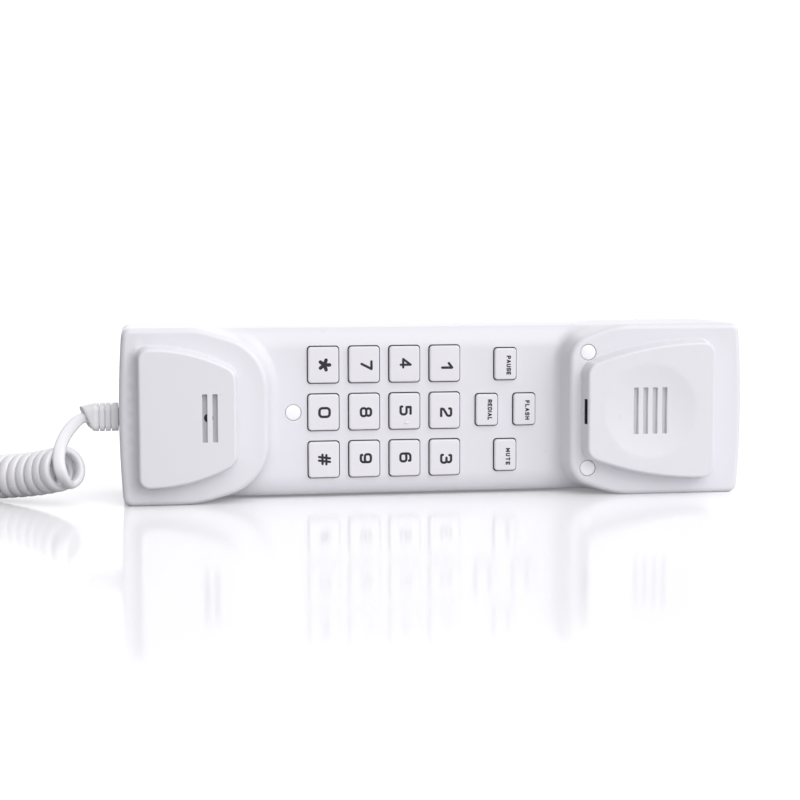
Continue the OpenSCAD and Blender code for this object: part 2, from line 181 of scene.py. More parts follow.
def plain(name, colour, rough=0.5, metallic=0.0, spread=0.05, scale=300.0, grain=0.00002, grain_scale=1500.0):
    m, nt, bsdf = new_material(name)
    vec = object_coords(nt, 1.0)
    n = noise(nt, vec, scale, 4.0, 0.6)
    col = ramp(nt, n, [(0.3, tuple(c * (1 - spread) for c in colour)), (0.7, tuple(min(1.0, c * (1 + spread)) for c in colour))])
    nt.links.new(col, bsdf.inputs["Base Color"])
    nt.links.new(to_range(nt, n, rough * 0.85, min(1.0, rough * 1.15), 0.3, 0.7), bsdf.inputs["Roughness"])
    set_in(bsdf, Metallic=metallic)
    fine = noise(nt, vec, grain_scale, 3.0, 0.6)
    bump(nt, bsdf, fine, 0.4, grain)
    return m


def board_material():
    """Green solder mask with copper tracks a little raised under it."""
    m, nt, bsdf = new_material("board_green")
    vec = object_coords(nt, 1.0)
    brick = nt.nodes.new("ShaderNodeTexBrick")
    brick.inputs["Scale"].default_value = 1.0
    brick.inputs["Brick Width"].default_value = 0.0075
    brick.inputs["Row Height"].default_value = 0.0019
    brick.inputs["Mortar Size"].default_value = 0.00028
    brick.inputs["Mortar Smooth"].default_value = 0.1
    brick.inputs["Color1"].default_value = (0.02, 0.16, 0.05, 1)
    brick.inputs["Color2"].default_value = (0.022, 0.19, 0.06, 1)
    brick.inputs["Mortar"].default_value = (0.05, 0.30, 0.10, 1)
    sep = nt.nodes.new("ShaderNodeSeparateXYZ")
    comb = nt.nodes.new("ShaderNodeCombineXYZ")
    nt.links.new(vec, sep.inputs[0])
    nt.links.new(sep.outputs["X"], comb.inputs["X"])
    nt.links.new(sep.outputs["Z"], comb.inputs["Y"])
    nt.links.new(comb.outputs[0], brick.inputs["Vector"])
    nt.links.new(brick.outputs["Color"], bsdf.inputs["Base Color"])
    bump(nt, bsdf, brick.outputs["Fac"], 0.5, 0.00003)
    set_in(bsdf, Roughness=0.34, Coat_Weight=0.3, Coat_Roughness=0.15)
    return m


MAT = {
    "shell": moulded("shell_plastic", (0.765, 0.757, 0.797), 0.006, (0.26, 0.31), 0.000004, 700.0, coat=0.0, spec=0.5),
    "key": moulded("key_plastic", (0.785, 0.776, 0.806), 0.006, (0.30, 0.37), 0.000004, 800.0),
    "plug_cap": moulded("plug_cap_plastic", (0.93, 0.93, 0.95), 0.006, (0.26, 0.32), 0.000004, 800.0),
    "slot_floor": moulded("slot_floor_plastic", (0.60, 0.59, 0.62), 0.01, (0.42, 0.5), 0.000008, 800.0),
    "ink": plain("legend_ink", (0.010, 0.010, 0.016), 0.45, spread=0.15),
    "cord": moulded("cord_vinyl", (0.87, 0.865, 0.89), 0.010, (0.30, 0.38), 0.000006, 900.0),
    "relief": moulded("relief_vinyl", (0.945, 0.94, 0.96), 0.010, (0.36, 0.44), 0.000008, 900.0),
    "silicone": plain("mat_silicone", (0.56, 0.57, 0.60), 0.55),
    "board": board_material(),
    "chip": plain("chip_epoxy", (0.018, 0.018, 0.020), 0.6),
    "sleeve": plain("capacitor_sleeve_vinyl", (0.03, 0.05, 0.16), 0.35),
    "steel": plain("zinc_steel", (0.62, 0.63, 0.65), 0.32, metallic=1.0, spread=0.06, scale=900.0),
    # dark plastic of the receiver capsule; the same material is painted shade on the key skirts and on the walls of the
    # key windows, screw holes and hook hollow
    "dark_plastic": plain("dark_abs_and_painted_shade", (0.022, 0.022, 0.024), 0.45),
    "foam": plain("black_foam", (0.03, 0.03, 0.032), 0.92, grain=0.0002, grain_scale=1800.0),
    "dark_rubber": plain("dark_rubber_boot", (0.020, 0.020, 0.022), 0.7),
    "lead_red": plain("lead_red_vinyl", (0.42, 0.03, 0.03), 0.4),
    "lead_dark": plain("lead_dark_vinyl", (0.03, 0.03, 0.035), 0.4),
    "lead_pale": plain("lead_pale_vinyl", (0.62, 0.62, 0.64), 0.4),
    "gold": plain("contact_gold", (0.86, 0.62, 0.24), 0.22, metallic=1.0, spread=0.04, scale=800.0),
}


def clear_plug_material():
    m, nt, bsdf = new_material("clear_polycarbonate")
    vec = object_coords(nt, 1.0)
    n = noise(nt, vec, 260.0, 2.0)
    nt.links.new(to_range(nt, n, 0.05, 0.11, 0.3, 0.7), bsdf.inputs["Roughness"])
    nt.links.new(ramp(nt, n, [(0.3, (0.93, 0.95, 0.96)), (0.7, (0.97, 0.985, 0.99))]), bsdf.inputs["Base Color"])
    set_in(bsdf, Transmission_Weight=0.22, IOR=1.58)
    return m


MAT["clear"] = clear_plug_material()


def assign(obj, mat):
    obj.data.materials.clear()
    obj.data.materials.append(mat)


# =====================================================================================================================
# Mesh helpers
# =====================================================================================================================
class Builder:
    """Collects vertices and faces. Each face has a smoothing group; normals are averaged inside a group only, or given
    exactly for the vertices in own."""

    def __init__(self):
        self.v = []
        self.f = []
        self.g = []
        self.m = []
        self.own = {}

    def add(self, pts):
        i0 = len(self.v)
        self.v.extend([tuple(p) for p in pts])
        return list(range(i0, i0 + len(pts)))

    def face(self, idx, group=0, mat=0):
        self.f.append(tuple(idx))
        self.g.append(group)
        self.m.append(mat)

    def normals(self, group, idx, n):
        for i, k in zip(idx, n):
            self.own[(group, i)] = tuple(k)

    def strip(self, a, b, group=0, mat=0, closed=True):
        """Quads between two rings of the same count. The faces look out where a runs counter-clockwise seen from outside
        and b is the next ring downwards."""
        n = len(a)
        for i in range(n if closed else n - 1):
            j = (i + 1) % n
            self.face((a[j], a[i], b[i], b[j]), group, mat)

    def build(self, name, mats):
        V = np.array(self.v, float)
        me = bpy.data.meshes.new(name)
        me.from_pydata((V * MM).tolist(), [], self.f)
        for m in mats:
            me.materials.append(m)
        me.polygons.foreach_set("material_index", self.m)
        me.polygons.foreach_set("use_smooth", [True] * len(self.f))
        me.update()
        acc = defaultdict(lambda: np.zeros(3))
        for f, g in zip(self.f, self.g):
            p = V[list(f)]
            n = np.zeros(3)
            for k in range(1, len(f) - 1):
                n += np.cross(p[k] - p[0], p[k + 1] - p[0])
            ln = np.linalg.norm(n)
            if ln < 1e-12:
                continue
            unit = n / ln
            m = len(f)
            for k in range(m):  # weighted by the corner's angle
                a, b = p[(k + 1) % m] - p[k], p[k - 1] - p[k]
                la, lb = np.linalg.norm(a), np.linalg.norm(b)
                if la > 1e-9 and lb > 1e-9:
                    acc[(g, f[k])] += unit * math.acos(max(-1.0, min(1.0, float(a @ b) / (la * lb))))
        out = []
        for f, g in zip(self.f, self.g):
            for i in f:
                n = self.own.get((g, i))
                if n is None:
                    n = acc[(g, i)]
                    ln = math.sqrt(float(n[0] ** 2 + n[1] ** 2 + n[2] ** 2))
                    n = (n[0] / ln, n[1] / ln, n[2] / ln) if ln > 1e-12 else (0.0, 0.0, 0.0)
                out.append(n)
        me.normals_split_custom_set(out)
        me.validate(clean_customdata=False)
        ob = bpy.data.objects.new(name, me)
        bpy.context.scene.collection.objects.link(ob)
        return ob


# ---------- plan outlines as arcs and lines, for w >= 0 ----------
def A(cx, cw, r, a0, a1):
    return ("A", cx, cw, r, math.radians(a0), math.radians(a1))


def L(x0, w0, x1, w1):
    return ("L", x0, w0, x1, w1)


def sdist(els, x, w):
    """Signed distance to an outline given by its upper half, positive inside. The inside is to the right of the way that
    the elements run (clockwise) on the upper half."""
    x, w = np.asarray(x, float), np.abs(np.asarray(w, float))
    best = np.full(x.shape, 1e9)
    out = np.zeros(x.shape)
    for e in els:
        if e[0] == "A":
            _, cx, cw, r, a0, a1 = e
            dx, dw = x - cx, w - cw
            mid, half = (a0 + a1) / 2, abs(a1 - a0) / 2
            rel = (np.arctan2(dw, dx) - mid + PI) % (2 * PI) - PI
            s = r - np.hypot(dx, dw)
            ends = np.minimum(
                np.hypot(x - cx - r * math.cos(a0), w - cw - r * math.sin(a0)),
                np.hypot(x - cx - r * math.cos(a1), w - cw - r * math.sin(a1)),
            )
            dist = np.where(np.abs(rel) <= half + 1e-7, np.abs(s), ends)
            val = np.sign(s) * dist
        else:
            _, x0, w0, x1, w1 = e
            ln = math.hypot(x1 - x0, w1 - w0)
            ux, uw = (x1 - x0) / ln, (w1 - w0) / ln
            p = np.clip((x - x0) * ux + (w - w0) * uw, 0, ln)
            dist = np.hypot(x - x0 - p * ux, w - w0 - p * uw)
            s = (x - x0) * uw - (w - w0) * ux  # right of the direction
            val = np.where(s >= 0, dist, -dist)
        hit = dist < best - 1e-9
        best = np.where(hit, dist, best)
        out = np.where(hit, val, out)
    return out


def offset_half(els, d, step, small=0.35):
    """Points along the upper half of an outline, moved d mm inside, in the order of its elements."""
    pts = []
    for e in els:
        if e[0] == "A":
            _, cx, cw, r, a0, a1 = e
            r2 = r - d
            n = max(2, int(math.ceil(abs(a1 - a0) * r / (step if r > 6 else small))))
            seg = [(cx + r2 * math.cos(a0 + (a1 - a0) * i / n), cw + r2 * math.sin(a0 + (a1 - a0) * i / n)) for i in range(n + 1)]
        else:
            _, x0, w0, x1, w1 = e
            ln = math.hypot(x1 - x0, w1 - w0)
            nx, nw = (w1 - w0) / ln, -(x1 - x0) / ln
            n = max(1, int(math.ceil(ln / (step * 1.6))))
            seg = [(x0 + (x1 - x0) * i / n + nx * d, w0 + (w1 - w0) * i / n + nw * d) for i in range(n + 1)]
        if pts and math.hypot(seg[0][0] - pts[-1][0], seg[0][1] - pts[-1][1]) < 0.02:
            seg = seg[1:]
        pts += seg
    return pts


def whole(half):
    """The closed loop from an upper half that starts and ends on the middle line."""
    low = [(x, -w) for x, w in reversed(half) if w > 1e-6]
    return list(half) + low


A_END = math.degrees(math.atan2(26.0, math.sqrt(342.0**2 - 26.0**2)))
CORNER_X = -240.0 + math.sqrt(342.0**2 - 26.0**2)


def smooth01(t):
    t = min(1.0, max(0.0, t))
    return t * t * t * (t * (6 * t - 15) + 10)


def half_width(x):
    """Half the width of the whole handset: full at the end blocks, 0.7 mm slimmer along the grip."""
    return 29.0 - 0.7 * smooth01((x + 81.0) / 15.0) * smooth01((67.0 - x) / 15.0)


def body_outline():
    els = [A(240, 0, 345, 180, 180 - A_END), A(-CORNER_X, 26, 3, 180 - A_END, 90)]
    xs = [-CORNER_X, -90] + [-81 + i * 1.0 for i in range(16)] + [-50, 0, 40] + [52 + i * 1.0 for i in range(16)] + [80, CORNER_X]
    for a, b in zip(xs, xs[1:]):
        els.append(L(a, half_width(a), b, half_width(b)))
    els += [A(CORNER_X, 26, 3, 90, A_END), A(-240, 0, 345, A_END, 0)]
    return els


BODY = body_outline()


def tangent_arc(px, pw, ang, r, a_end):
    """An arc of radius r that passes (px, pw) where its own angle is ang."""
    cx, cw = px - r * math.cos(math.radians(ang)), pw - r * math.sin(math.radians(ang))
    return A(cx, cw, r, ang, a_end)


# The platforms' steps down to the keypad face. Past the arcs that show, each line runs on outside the handset.
def step_l():
    a = tangent_arc(-74.2 + 18 * math.cos(math.radians(72)), 9 + 18 * math.sin(math.radians(72)), 72, 200.0, 72)
    ext = ("A", a[1], a[2], a[3], math.radians(90), math.radians(72))
    return [L(-160, a[2] + 200, a[1], a[2] + 200), ext, A(-74.2, 9, 18, 72, 0), L(-56.2, 9, -56.2, 0)]


def step_r():
    p = (53.2 + 8.5 * math.cos(math.radians(112)), 17 + 8.5 * math.sin(math.radians(112)))
    a = tangent_arc(p[0], p[1], 112, 200.0, 112)
    ext = ("A", a[1], a[2], a[3], math.radians(112), math.radians(90))
    return [L(44.7, 0, 44.7, 17), A(53.2, 17, 8.5, 180, 112), ext, L(a[1], a[2] + 200, 180, a[2] + 200)]


STEP_L, STEP_R = step_l(), step_r()
PAD_L = [
    L(-98.8, 0, -98.8, 19.1),
    A(-95.3, 19.1, 3.5, 180, 90),
    A(-95.3, -32.4, 55, 90, 62.74),
    A(-72.4, 12.05, 5, 62.74, 0),
    L(-67.4, 12.05, -67.4, 0),
]
PAD_R = [
    L(49.4, 0, 49.4, 12.15),
    A(53.9, 12.15, 4.5, 180, 110.18),
    A(89.6, -85, 108, 110.18, 90),
    A(89.6, 19, 4, 90, 0),
    L(93.6, 19, 93.6, 0),
]


# ---------- a wall with a round top edge, a drafted flank and a hollow foot, as a height over the distance inside ----------
class Wall:
    def __init__(self, h1, h0, draft, r1, r0, d0):
        self.h1, self.h0, self.r1, self.r0 = h1, h0, r1, r0
        phi = math.radians(90 - draft)
        cot = math.tan(math.radians(draft))
        self.phi, self.m = phi, 1 / cot
        dt1, dt0 = d0 + (h1 - h0) / 2 * cot, d0 - (h1 - h0) / 2 * cot
        self.dA, self.dB = dt1 + r1 * math.tan(phi / 2), dt1 - r1 * math.tan(phi / 2) * math.cos(phi)
        self.dD, self.dC = dt0 - r0 * math.tan(phi / 2), dt0 + r0 * math.tan(phi / 2) * math.cos(phi)
        self.hB = h1 - r1 * (1 - math.cos(phi))
        self.hC = h0 + r0 * (1 - math.cos(phi))

    def __call__(self, d):
        top = self.h1 - self.r1 + np.sqrt(np.maximum(self.r1**2 - (self.dA - d) ** 2, 0))
        foot = self.h0 + self.r0 - np.sqrt(np.maximum(self.r0**2 - (d - self.dD) ** 2, 0))
        mid = self.hC + (d - self.dC) * (self.hB - self.hC) / (self.dB - self.dC)
        return np.where(
            d >= self.dA, self.h1, np.where(d >= self.dB, top, np.where(d >= self.dC, mid, np.where(d > self.dD, foot, self.h0)))
        )

    def rings(self, n1, n0, mid=1):
        out = [self.dA - self.r1 * math.sin(self.phi * i / n1) for i in range(n1 + 1)]
        out += [self.dB + (self.dC - self.dB) * i / (mid + 1) for i in range(1, mid + 1)]
        out += [self.dD + self.r0 * math.sin(self.phi * (n0 - i) / n0) for i in range(n0 + 1)]
        return out

    def at(self, h):
        """The distance inside at which the flank has height h."""
        return self.dC + (h - self.hC) * (self.dB - self.dC) / (self.hB - self.hC)


W_STEP_L = Wall(H_PLAT, H_FACE, 12.0, 1.8, 3.2, -0.24)
W_STEP_R = Wall(H_PLAT, H_FACE, 11.0, 1.8, 3.0, -0.70)
W_PAD = Wall(6.0, 0.0, 9.5, 0.95, 0.35, -0.31)
W_PAD_END = Wall(6.0, 0.0, 7.0, 0.95, 2.3, -0.31)


def edge_drop(t, a, b, least=0.0):
    """A quarter ellipse, a mm wide in plan and b mm deep, at t mm inside the edge."""
    t = np.clip(t, least, a)
    return b * (1 - np.sqrt(np.maximum(1 - ((a - t) / a) ** 2, 0)))


def platform(x, w):
    left = W_STEP_L(sdist(STEP_L, x, w))
    right = W_STEP_R(sdist(STEP_R, x, w))
    return np.where(np.asarray(x) < 0, left, right)


def edge_size(T):
    """How wide and how deep the long edges are rounded: small on the end blocks, wide and soft along the grip."""
    q = np.clip((H_PLAT - T) / (H_PLAT - H_FACE), 0, 1)
    return 1.9 + (7.6 - 1.9) * q, 1.9 + (5.2 - 1.9) * q


DISH_R, DISH_D = 15.8, 1.2
DISH_R2 = (DISH_D**2 + DISH_R**2) / (2 * DISH_D)


def dish(x, w):
    q = (x - EAR_X) ** 2 + w**2
    cap = DISH_D - q / (2 * DISH_R2)
    return np.where(q < 20.0**2, 0.5 * (cap + np.sqrt(cap * cap + 0.004)) - 0.5 * (0.0), 0.0) * np.clip((20.0**2 - q) / 120.0, 0, 1)


def rrect_sd(x, w, c, hw, hh, r):
    """Signed distance to a round-cornered rectangle, positive outside."""
    qx, qw = np.abs(x - c[0]) - (hw - r), np.abs(w - c[1]) - (hh - r)
    return np.hypot(np.maximum(qx, 0), np.maximum(qw, 0)) + np.minimum(np.maximum(qx, qw), 0) - r


# every opening in the front face: (name, kind, centre, half width, half height, corner radius, rim rounding)
KEY_W, KEY_H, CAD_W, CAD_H, GAP = 10.2, 12.0, 7.4, 10.6, 0.34
OPENINGS = []
for cx in COLS:
    for cw in ROWS:
        OPENINGS.append(((cx, cw), KEY_W / 2 + GAP, KEY_H / 2 + GAP, 1.25, 0.16, "window"))
for cx, cw in FKEYS.values():
    OPENINGS.append(((cx, cw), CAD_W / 2 + GAP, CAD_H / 2 + GAP, 1.25, 0.16, "window"))
for i in range(4):
    OPENINGS.append(((EAR_X + (i - 1.5) * 3.3, 0.0), 0.8, 7.8, 0.28, 0.22, "slot"))
for i in range(2):
    OPENINGS.append(((MIC_X + (i - 0.5) * 3.3, 0.0), 0.8, 7.8, 0.28, 0.22, "slot"))
for c in SCREWS.values():
    OPENINGS.append((c, 2.72, 2.72, 2.72, 0.22, "screw"))


SPOT_R = 3.02


def spot_face(x, w):
    """0 inside the flats that the two screw holes beside the earpiece pad are sunk in, 1 outside."""
    t = np.clip((np.hypot(x - 51.0, np.abs(w) - 19.6) - SPOT_R) / 0.12, 0, 1)
    return t * t * (3 - 2 * t)


def height(x, w, least=0.0):
    """Height of the front face over the plan."""
    x, w = np.asarray(x, float), np.asarray(w, float)
    T = platform(x, w)
    dl = sdist(PAD_L, x, w)
    ang = np.degrees(np.arctan2(np.maximum(np.abs(w) - 19.1, 0.0), np.maximum(-95.3 - x, 1e-9)))
    end = np.where(x < -95.3, np.clip((75.0 - ang) / 60.0, 0, 1), 0.0)
    end = end * end * (3 - 2 * end)
    h = T + np.where(x < 0, W_PAD(dl) * (1 - end) + W_PAD_END(dl) * end, W_PAD(sdist(PAD_R, x, w)) * spot_face(x, w))
    h = h - np.where(x > 40, dish(x, w), 0.0)
    ea, eb = edge_size(T)
    h = h - edge_drop(sdist(BODY, x, w), ea, eb, least)
    for c, hw, hh, cr, rim, kind in OPENINGS:
        near = (np.abs(x - c[0]) < hw + 1) & (np.abs(w - c[1]) < hh + 1)
        if near.any():
            d = rrect_sd(x[near], w[near], c, hw, hh, cr)
            h[near] -= edge_drop(d, rim, rim, least * 0.3)
    return h


def field_normals(fn, x, w, side=1.0):
    e = 1e-3
    hx = (fn(x + e, w) - fn(x - e, w)) / (2 * e)
    hw = (fn(x, w + e) - fn(x, w - e)) / (2 * e)
    n = np.c_[-hx, -np.ones_like(hx) * side, -hw]
    return n / np.linalg.norm(n, axis=1)[:, None]


def rrect_ring(c, hw, hh, r, off, corner=6, along=4):
    """Points of a round-cornered rectangle grown by off, counter-clockwise in (x, w)."""
    pts = []
    r2 = r + off
    for sx, sw, a0 in ((1, 1, 0), (-1, 1, 90), (-1, -1, 180), (1, -1, 270)):
        for i in range(corner + 1):
            a = math.radians(a0 + 90 * i / corner)
            pts.append((c[0] + sx * (hw - r) + r2 * math.cos(a), c[1] + sw * (hh - r) + r2 * math.sin(a)))
        # along the side that follows
        nx, nw, b0 = {0: (-1, 1, 90), 90: (-1, -1, 180), 180: (1, -1, 270), 270: (1, 1, 360)}[a0]
        q = (c[0] + nx * (hw - r) + r2 * math.cos(math.radians(b0)), c[1] + nw * (hh - r) + r2 * math.sin(math.radians(b0)))
        p = pts[-1]
        if math.hypot(q[0] - p[0], q[1] - p[1]) > 0.3:
            for i in range(1, along):
                pts.append((p[0] + (q[0] - p[0]) * i / along, p[1] + (q[1] - p[1]) * i / along))
    out = [pts[0]]
    for p in pts[1:]:
        if math.hypot(p[0] - out[-1][0], p[1] - out[-1][1]) > 1e-4:
            out.append(p)
    if math.hypot(out[0][0] - out[-1][0], out[0][1] - out[-1][1]) < 1e-4:
        out.pop()
    return out


class Plan:
    """Points and lines for one plan triangulation."""

    def __init__(self):
        self.p, self.e = [], []
        self.cells = set()

    def loop(self, pts, closed=True):
        i0 = len(self.p)
        self.p += [Vector(q) for q in pts]
        n = len(pts)
        for i in range(n if closed else n - 1):
            self.e.append((i0 + i, i0 + (i + 1) % n))
        for q in pts:
            self.mark(q)

    def mark(self, q):
        self.cells.add((round(q[0] / 0.8), round(q[1] / 0.8)))

    def free(self, q, reach=1):
        a, b = round(q[0] / 0.8), round(q[1] / 0.8)
        return all((a + i, b + j) not in self.cells for i in range(-reach, reach + 1) for j in range(-reach, reach + 1))

    def scatter(self, pts, reach=1):
        for q in pts:
            if self.free(q, reach):
                self.p.append(Vector(q))
        for q in pts:
            self.mark(q)

    def solve(self, keep):
        """Triangles whose middle passes keep(x, w), as (points, triangles), counter-clockwise."""
        co, _, faces, *_ = delaunay_2d_cdt(self.p, self.e, [], 0, 1e-5, False)
        P = np.array([(q[0], q[1]) for q in co])
        T = np.array([f for f in faces if len(f) == 3], int)
        a, b, c = P[T[:, 0]], P[T[:, 1]], P[T[:, 2]]
        area = ((b - a)[:, 0] * (c - a)[:, 1] - (b - a)[:, 1] * (c - a)[:, 0]) / 2
        T[area < 0] = T[area < 0][:, ::-1]
        mid = (a + b + c) / 3
        ok = (np.abs(area) > 1e-9) & keep(mid[:, 0], mid[:, 1])
        T = T[ok]
        used = np.unique(T)
        back = np.full(len(P), -1)
        back[used] = np.arange(len(used))
        return P[used], back[T]


def border_loops(tris):
    """Directed loops of edges that only one triangle has."""
    edges = set()
    for a, b, c in tris.tolist():
        edges.update(((a, b), (b, c), (c, a)))
    nxt = {a: b for a, b in edges if (b, a) not in edges}
    loops = []
    while nxt:
        a = next(iter(nxt))
        loop = []
        while a in nxt:
            loop.append(a)
            a = nxt.pop(a)
        loops.append(loop)
    return loops


def zip_loops(B, A_, Bl, group, mat=0):
    """Triangles between two closed rings that turn the same way. A_ is a directed border of faces already there."""
    V = B.v
    pa = [np.array(V[i]) for i in A_]
    pb = [np.array(V[i]) for i in Bl]
    j0 = int(np.argmin([np.linalg.norm(pa[0] - q) for q in pb]))
    Bl, pb = Bl[j0:] + Bl[:j0], pb[j0:] + pb[:j0]
    na, nb = len(A_), len(Bl)
    i = j = 0
    while i < na or j < nb:
        ai, aj = pa[i % na], pa[(i + 1) % na]
        bi, bj = pb[j % nb], pb[(j + 1) % nb]
        go_a = j >= nb or (i < na and np.linalg.norm(aj - bi) <= np.linalg.norm(ai - bj))
        if go_a:
            B.face((A_[(i + 1) % na], A_[i % na], Bl[j % nb]), group, mat)
            i += 1
        else:
            B.face((A_[i % na], Bl[j % nb], Bl[(j + 1) % nb]), group, mat)
            j += 1


def zip_turning(B, A_, Bl, group, mat=0):
    """The same for two rings of one narrow outline with unlike spacing, matched by their turn about the middle."""
    mid, size = [], []
    for k in (0, 2):
        vals = [B.v[i][k] for i in A_]
        mid.append((min(vals) + max(vals)) / 2)
        size.append(max(vals) - min(vals))

    def turn(ids):
        a = [math.atan2((B.v[i][2] - mid[1]) / size[1], (B.v[i][0] - mid[0]) / size[0]) for i in ids]
        return np.unwrap(a + a[:1])

    ta = turn(A_)
    j0 = int(np.argmin([abs(math.remainder(t - ta[0], 2 * PI)) for t in turn(Bl)[:-1]]))
    Bl = Bl[j0:] + Bl[:j0]
    tb = turn(Bl)
    tb = tb + ta[0] - tb[0] + math.remainder(tb[0] - ta[0], 2 * PI)
    way = 1.0 if ta[-1] > ta[0] else -1.0
    na, nb = len(A_), len(Bl)
    i = j = 0
    while i < na or j < nb:
        if j >= nb or (i < na and way * ta[i + 1] <= way * tb[j + 1]):
            B.face((A_[(i + 1) % na], A_[i % na], Bl[j % nb]), group, mat)
            i += 1
        else:
            B.face((A_[i % na], Bl[j % nb], Bl[(j + 1) % nb]), group, mat)
            j += 1


def hex_points(step, x0, x1, w0, w1):
    out = []
    k, w = 0, w0
    while w <= w1:
        x = x0 + (step / 2 if k % 2 else 0)
        while x <= x1:
            out.append((x, w))
            x += step
        w += step * 0.866
        k += 1
    return out


# =====================================================================================================================
# Front shell
# =====================================================================================================================
def body_half(d=0.0, step=1.25, small=0.3):
    return offset_half(BODY, d, step, small)


def inward(els, x, w):
    """Unit vectors in plan that point inside, from the distance's gradient."""
    e = 1e-4
    gx = (sdist(els, x + e, w) - sdist(els, x - e, w)) / (2 * e)
    gw = (sdist(els, x, w + e) - sdist(els, x, w - e)) / (2 * e)
    n = np.hypot(gx, gw)
    return gx / n, gw / n


def catch_slot():
    """The hollow for a wall cradle's hook, low in the earpiece pad's flank: its border in plan."""
    d0, d1 = W_PAD.at(2.8), W_PAD.at(5.15)
    xa, xb = 49.4 + d0, 49.4 + d1
    n = 8
    return [(xa, -4.2 + 8.4 * i / n) for i in range(n + 1)], [(xb, 4.2 - 8.4 * i / n) for i in range(n + 1)]


